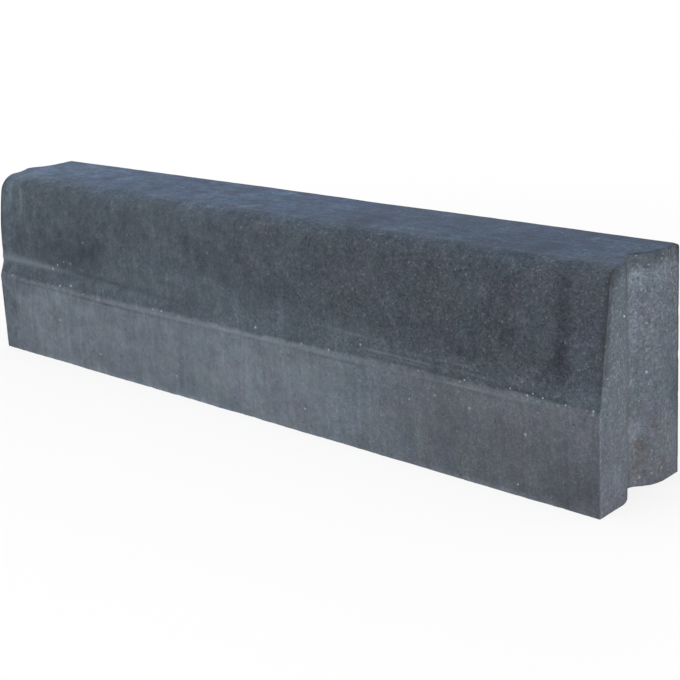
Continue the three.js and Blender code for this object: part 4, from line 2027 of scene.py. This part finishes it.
        # Darker towards the top edge
        base = desk.scale(base, desk.spread(up, *self.darker_top_part))
        upper = desk.spread(up, *self.upper_part)
        skin = CastSkin.use(
            desk,
            place,
            colour=base,
            warm_colour=base,
            grit_colour=self.grit_colour,
            grain_size=0.0034,
            hue_drift=0.2,
            grain_shade=desk.product(
                desk.blend(upper, 0.21, 0.27), desk.spread(up, *self.rough_part)
            ),
            mottle_shade=desk.blend(upper, 0.14, 0.13),
            cloud_shade=0.05,
            streak_shade=0.05,
            streak_width=(0.005, 0.005, 0.03),
            grit_share=0.2,
            pore_share=0.75,
        )
        broken = desk.mark("broken")
        dark, pale = (
            desk.product(
                ScatteredDots.use(desk, spot, spacing=0.0042, dot_size=0.0026, share=0.5)[0],
                broken,
            )
            for spot in (place, desk.vector("ADD", place, self.shift))
        )
        covers = (
            (desk.mark("pebble"), 0.35, self.rim_colour),
            # Painted shade on the groove's turned-away edges and in its small holes
            (desk.mark("shade_and_dark_lines"), 0.7, self.shade_and_dark_colour),
            (broken, 0.4, self.broken_colour),
            (dark, 0.85, self.shade_and_dark_colour),
            (pale, 0.85, self.rim_colour),
        )
        colour = self.covered(desk, skin["Colour"], covers)
        return self.finished(desk, place, colour), skin["Roughness"], skin["Height"]


@dataclass(frozen=True)
class HiddenConcrete(Finish):
    """The plain mould-marked skin of the back and the base."""

    name: str = "back_concrete"
    colour: Colour = (0.108, 0.123, 0.146)
    warm_colour: Colour = (0.108, 0.114, 0.13)
    grit_colour: Colour = (0.26, 0.28, 0.31)
    arris_shade_colour: Colour = (0.04, 0.053, 0.074)

    def surface(self, desk: NodeDesk, place: Socket) -> Coat:
        """Lays the skin in broad mottles, with its arrises worn and painted shade along the rear
        arris.

        Args:
            desk: The material's node desk.
            place: The object coordinates.

        Returns:
            The colour, the roughness and the height.
        """
        skin = CastSkin.use(
            desk,
            place,
            colour=self.colour,
            warm_colour=self.warm_colour,
            warm_share=0.8,
            grit_colour=self.grit_colour,
            grain_size=0.0036,
            grain_shade=0.18,
            mottle_shade=0.34,
            cloud_shade=0.09,
            streak_shade=0.06,
            streak_width=(0.006, 0.006, 0.06),
            grit_share=0.08,
            pore_share=0.16,
        )
        covers = (
            (desk.mark("worn"), 0.15, self.grit_colour),
            # Painted shade along the rear arris
            (desk.mark("rim"), 1.0, self.arris_shade_colour),
        )
        colour = self.covered(desk, skin["Colour"], covers)
        return colour, skin["Roughness"], skin["Height"]


@dataclass(frozen=True)
class Viewpoint:
    """Where the camera stands and how it is held."""

    azimuth: float = 46.24
    elevation: float = 14.66
    roll: float = -3.93
    distance: float = 1.832
    target: Place = (-0.0453, 0.0, 0.1636)
    lens: float = 77.26
    shift: tuple[float, float] = (0.1247, -0.105)

    def place(self) -> bpy.types.Object:
        """Makes the camera and gives it to the scene.

        Returns:
            The camera.
        """
        around, above = math.radians(self.azimuth), math.radians(self.elevation)
        level = math.cos(above)
        back = Vector((math.sin(around) * level, -math.cos(around) * level, math.sin(above)))
        right = Vector((0.0, 0.0, 1.0)).cross(back).normalized()
        turned = Matrix((right, back.cross(right), back)).transposed().to_4x4()
        data = bpy.data.cameras.new("camera")
        data.lens = self.lens
        data.shift_x, data.shift_y = self.shift
        roll = Matrix.Rotation(math.radians(self.roll), 4, "Z")
        where = Matrix.Translation(Vector(self.target) + back * self.distance)
        camera = add_object("camera", data)
        camera.matrix_world = where @ turned @ roll
        bpy.context.scene.camera = camera
        return camera


@dataclass(frozen=True)
class SoftLamp:
    """A large square lamp that points at the stone."""

    name: str
    place: Place
    width: float
    power: float

    def hang(self, target: Vector) -> bpy.types.Object:
        """Hangs the lamp and turns it to the target.

        Args:
            target: What the lamp points at.

        Returns:
            The lamp.
        """
        data = bpy.data.lights.new(self.name, "AREA")
        data.shape = "SQUARE"
        data.size = self.width
        data.energy = self.power
        lamp = add_object(self.name, data)
        lamp.location = self.place
        aim = target - Vector(self.place)
        lamp.rotation_euler = aim.to_track_quat("-Z", "Y").to_euler()
        return lamp


@dataclass(frozen=True)
class Studio:
    """A pale floor and soft lamps around the stone."""

    floor_width: float = 30.0
    ambient: float = 0.5
    floor_white: float = 0.86
    near_glow: float = 0.8
    near_reach: float = 0.7
    far_reach: float = 1.6
    target: Place = (0.0, 0.0, 0.12)
    lamps: tuple[SoftLamp, ...] = (
        SoftLamp("overhead", (0.0, -0.3, 2.6), 2.6, 27.0),
        SoftLamp("front", (-0.4, -3.0, 1.7), 2.2, 33.0),
        SoftLamp("key", (2.4, -1.7, 1.7), 1.4, 26.0),
        SoftLamp("rear", (-1.5, 3.0, 1.8), 2.0, 26.0),
    )

    def build(self) -> bpy.types.Object:
        """Makes the floor, the lamps and the surrounding light.

        Returns:
            The floor.
        """
        for lamp in self.lamps:
            lamp.hang(Vector(self.target))
        self.light_world()
        mesh = bmesh.new()
        bmesh.ops.create_grid(mesh, x_segments=4, y_segments=4, size=self.floor_width / 2)
        floor = add_object("studio_floor", take_mesh("studio_floor", mesh))
        floor.data.materials.append(self.floor_material())
        return floor

    def seen_directly(self, desk: NodeDesk) -> Socket:
        """Tells the camera's, mirrored and see-through rays from the ones that light.

        Args:
            desk: The desk of the world or the floor's material.

        Returns:
            1 for the rays that are seen, 0 for the others.
        """
        rays = desk.add("ShaderNodeLightPath").outputs
        mirrored = desk.math("MAXIMUM", rays["Is Glossy Ray"], rays["Is Transmission Ray"])
        return desk.math("MAXIMUM", rays["Is Camera Ray"], mirrored)

    def light_world(self) -> None:
        """Surrounds the stone with an even light, white to the camera."""
        world = bpy.data.worlds.new("studio_world")
        desk = NodeDesk.clear(world)
        strength = desk.blend(self.seen_directly(desk), self.ambient, 1.0)
        light = desk.add("ShaderNodeBackground", {"Color": WHITE, "Strength": strength})
        desk.add("ShaderNodeOutputWorld", {"Surface": light.outputs[0]})
        bpy.context.scene.world = world

    def floor_material(self) -> bpy.types.Material:
        """Makes a pale floor that stays white to the camera but keeps a soft shadow.

        Returns:
            The floor's material.
        """
        material = bpy.data.materials.new("studio_floor")
        desk = NodeDesk.clear(material)
        matt = desk.add("ShaderNodeBsdfDiffuse", {"Color": (self.floor_white,) * 3})
        glow = desk.add("ShaderNodeEmission", {"Color": WHITE, "Strength": 1.0})
        away = desk.apart(desk.add("ShaderNodeTexCoord").outputs["Object"])
        bright = desk.spread(away, self.near_reach, self.far_reach, self.near_glow, 1.0)
        share = desk.product(self.seen_directly(desk), bright)
        inputs = {0: share, 1: matt.outputs[0], 2: glow.outputs[0]}
        mixed = desk.add("ShaderNodeMixShader", inputs)
        desk.add("ShaderNodeOutputMaterial", {"Surface": mixed.outputs[0]})
        return material


def main() -> None:
    """Builds the stone, the studio and the camera, and reports each piece."""
    logging.basicConfig(level=logging.INFO, format="%(name)s: %(message)s")
    bpy.context.scene.view_settings.view_transform = "Standard"
    Viewpoint().place()
    Studio().build()

    kerb = KerbStone(KerbSize.from_frame())
    stone = kerb.build()
    kerb.dress(stone)
    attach(stone, "root")
    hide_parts("kerb_stone")
    stone.data.calc_loop_triangles()
    log.info("%s: %d triangles", stone.name, len(stone.data.loop_triangles))


if __name__ == "__main__":
    main()
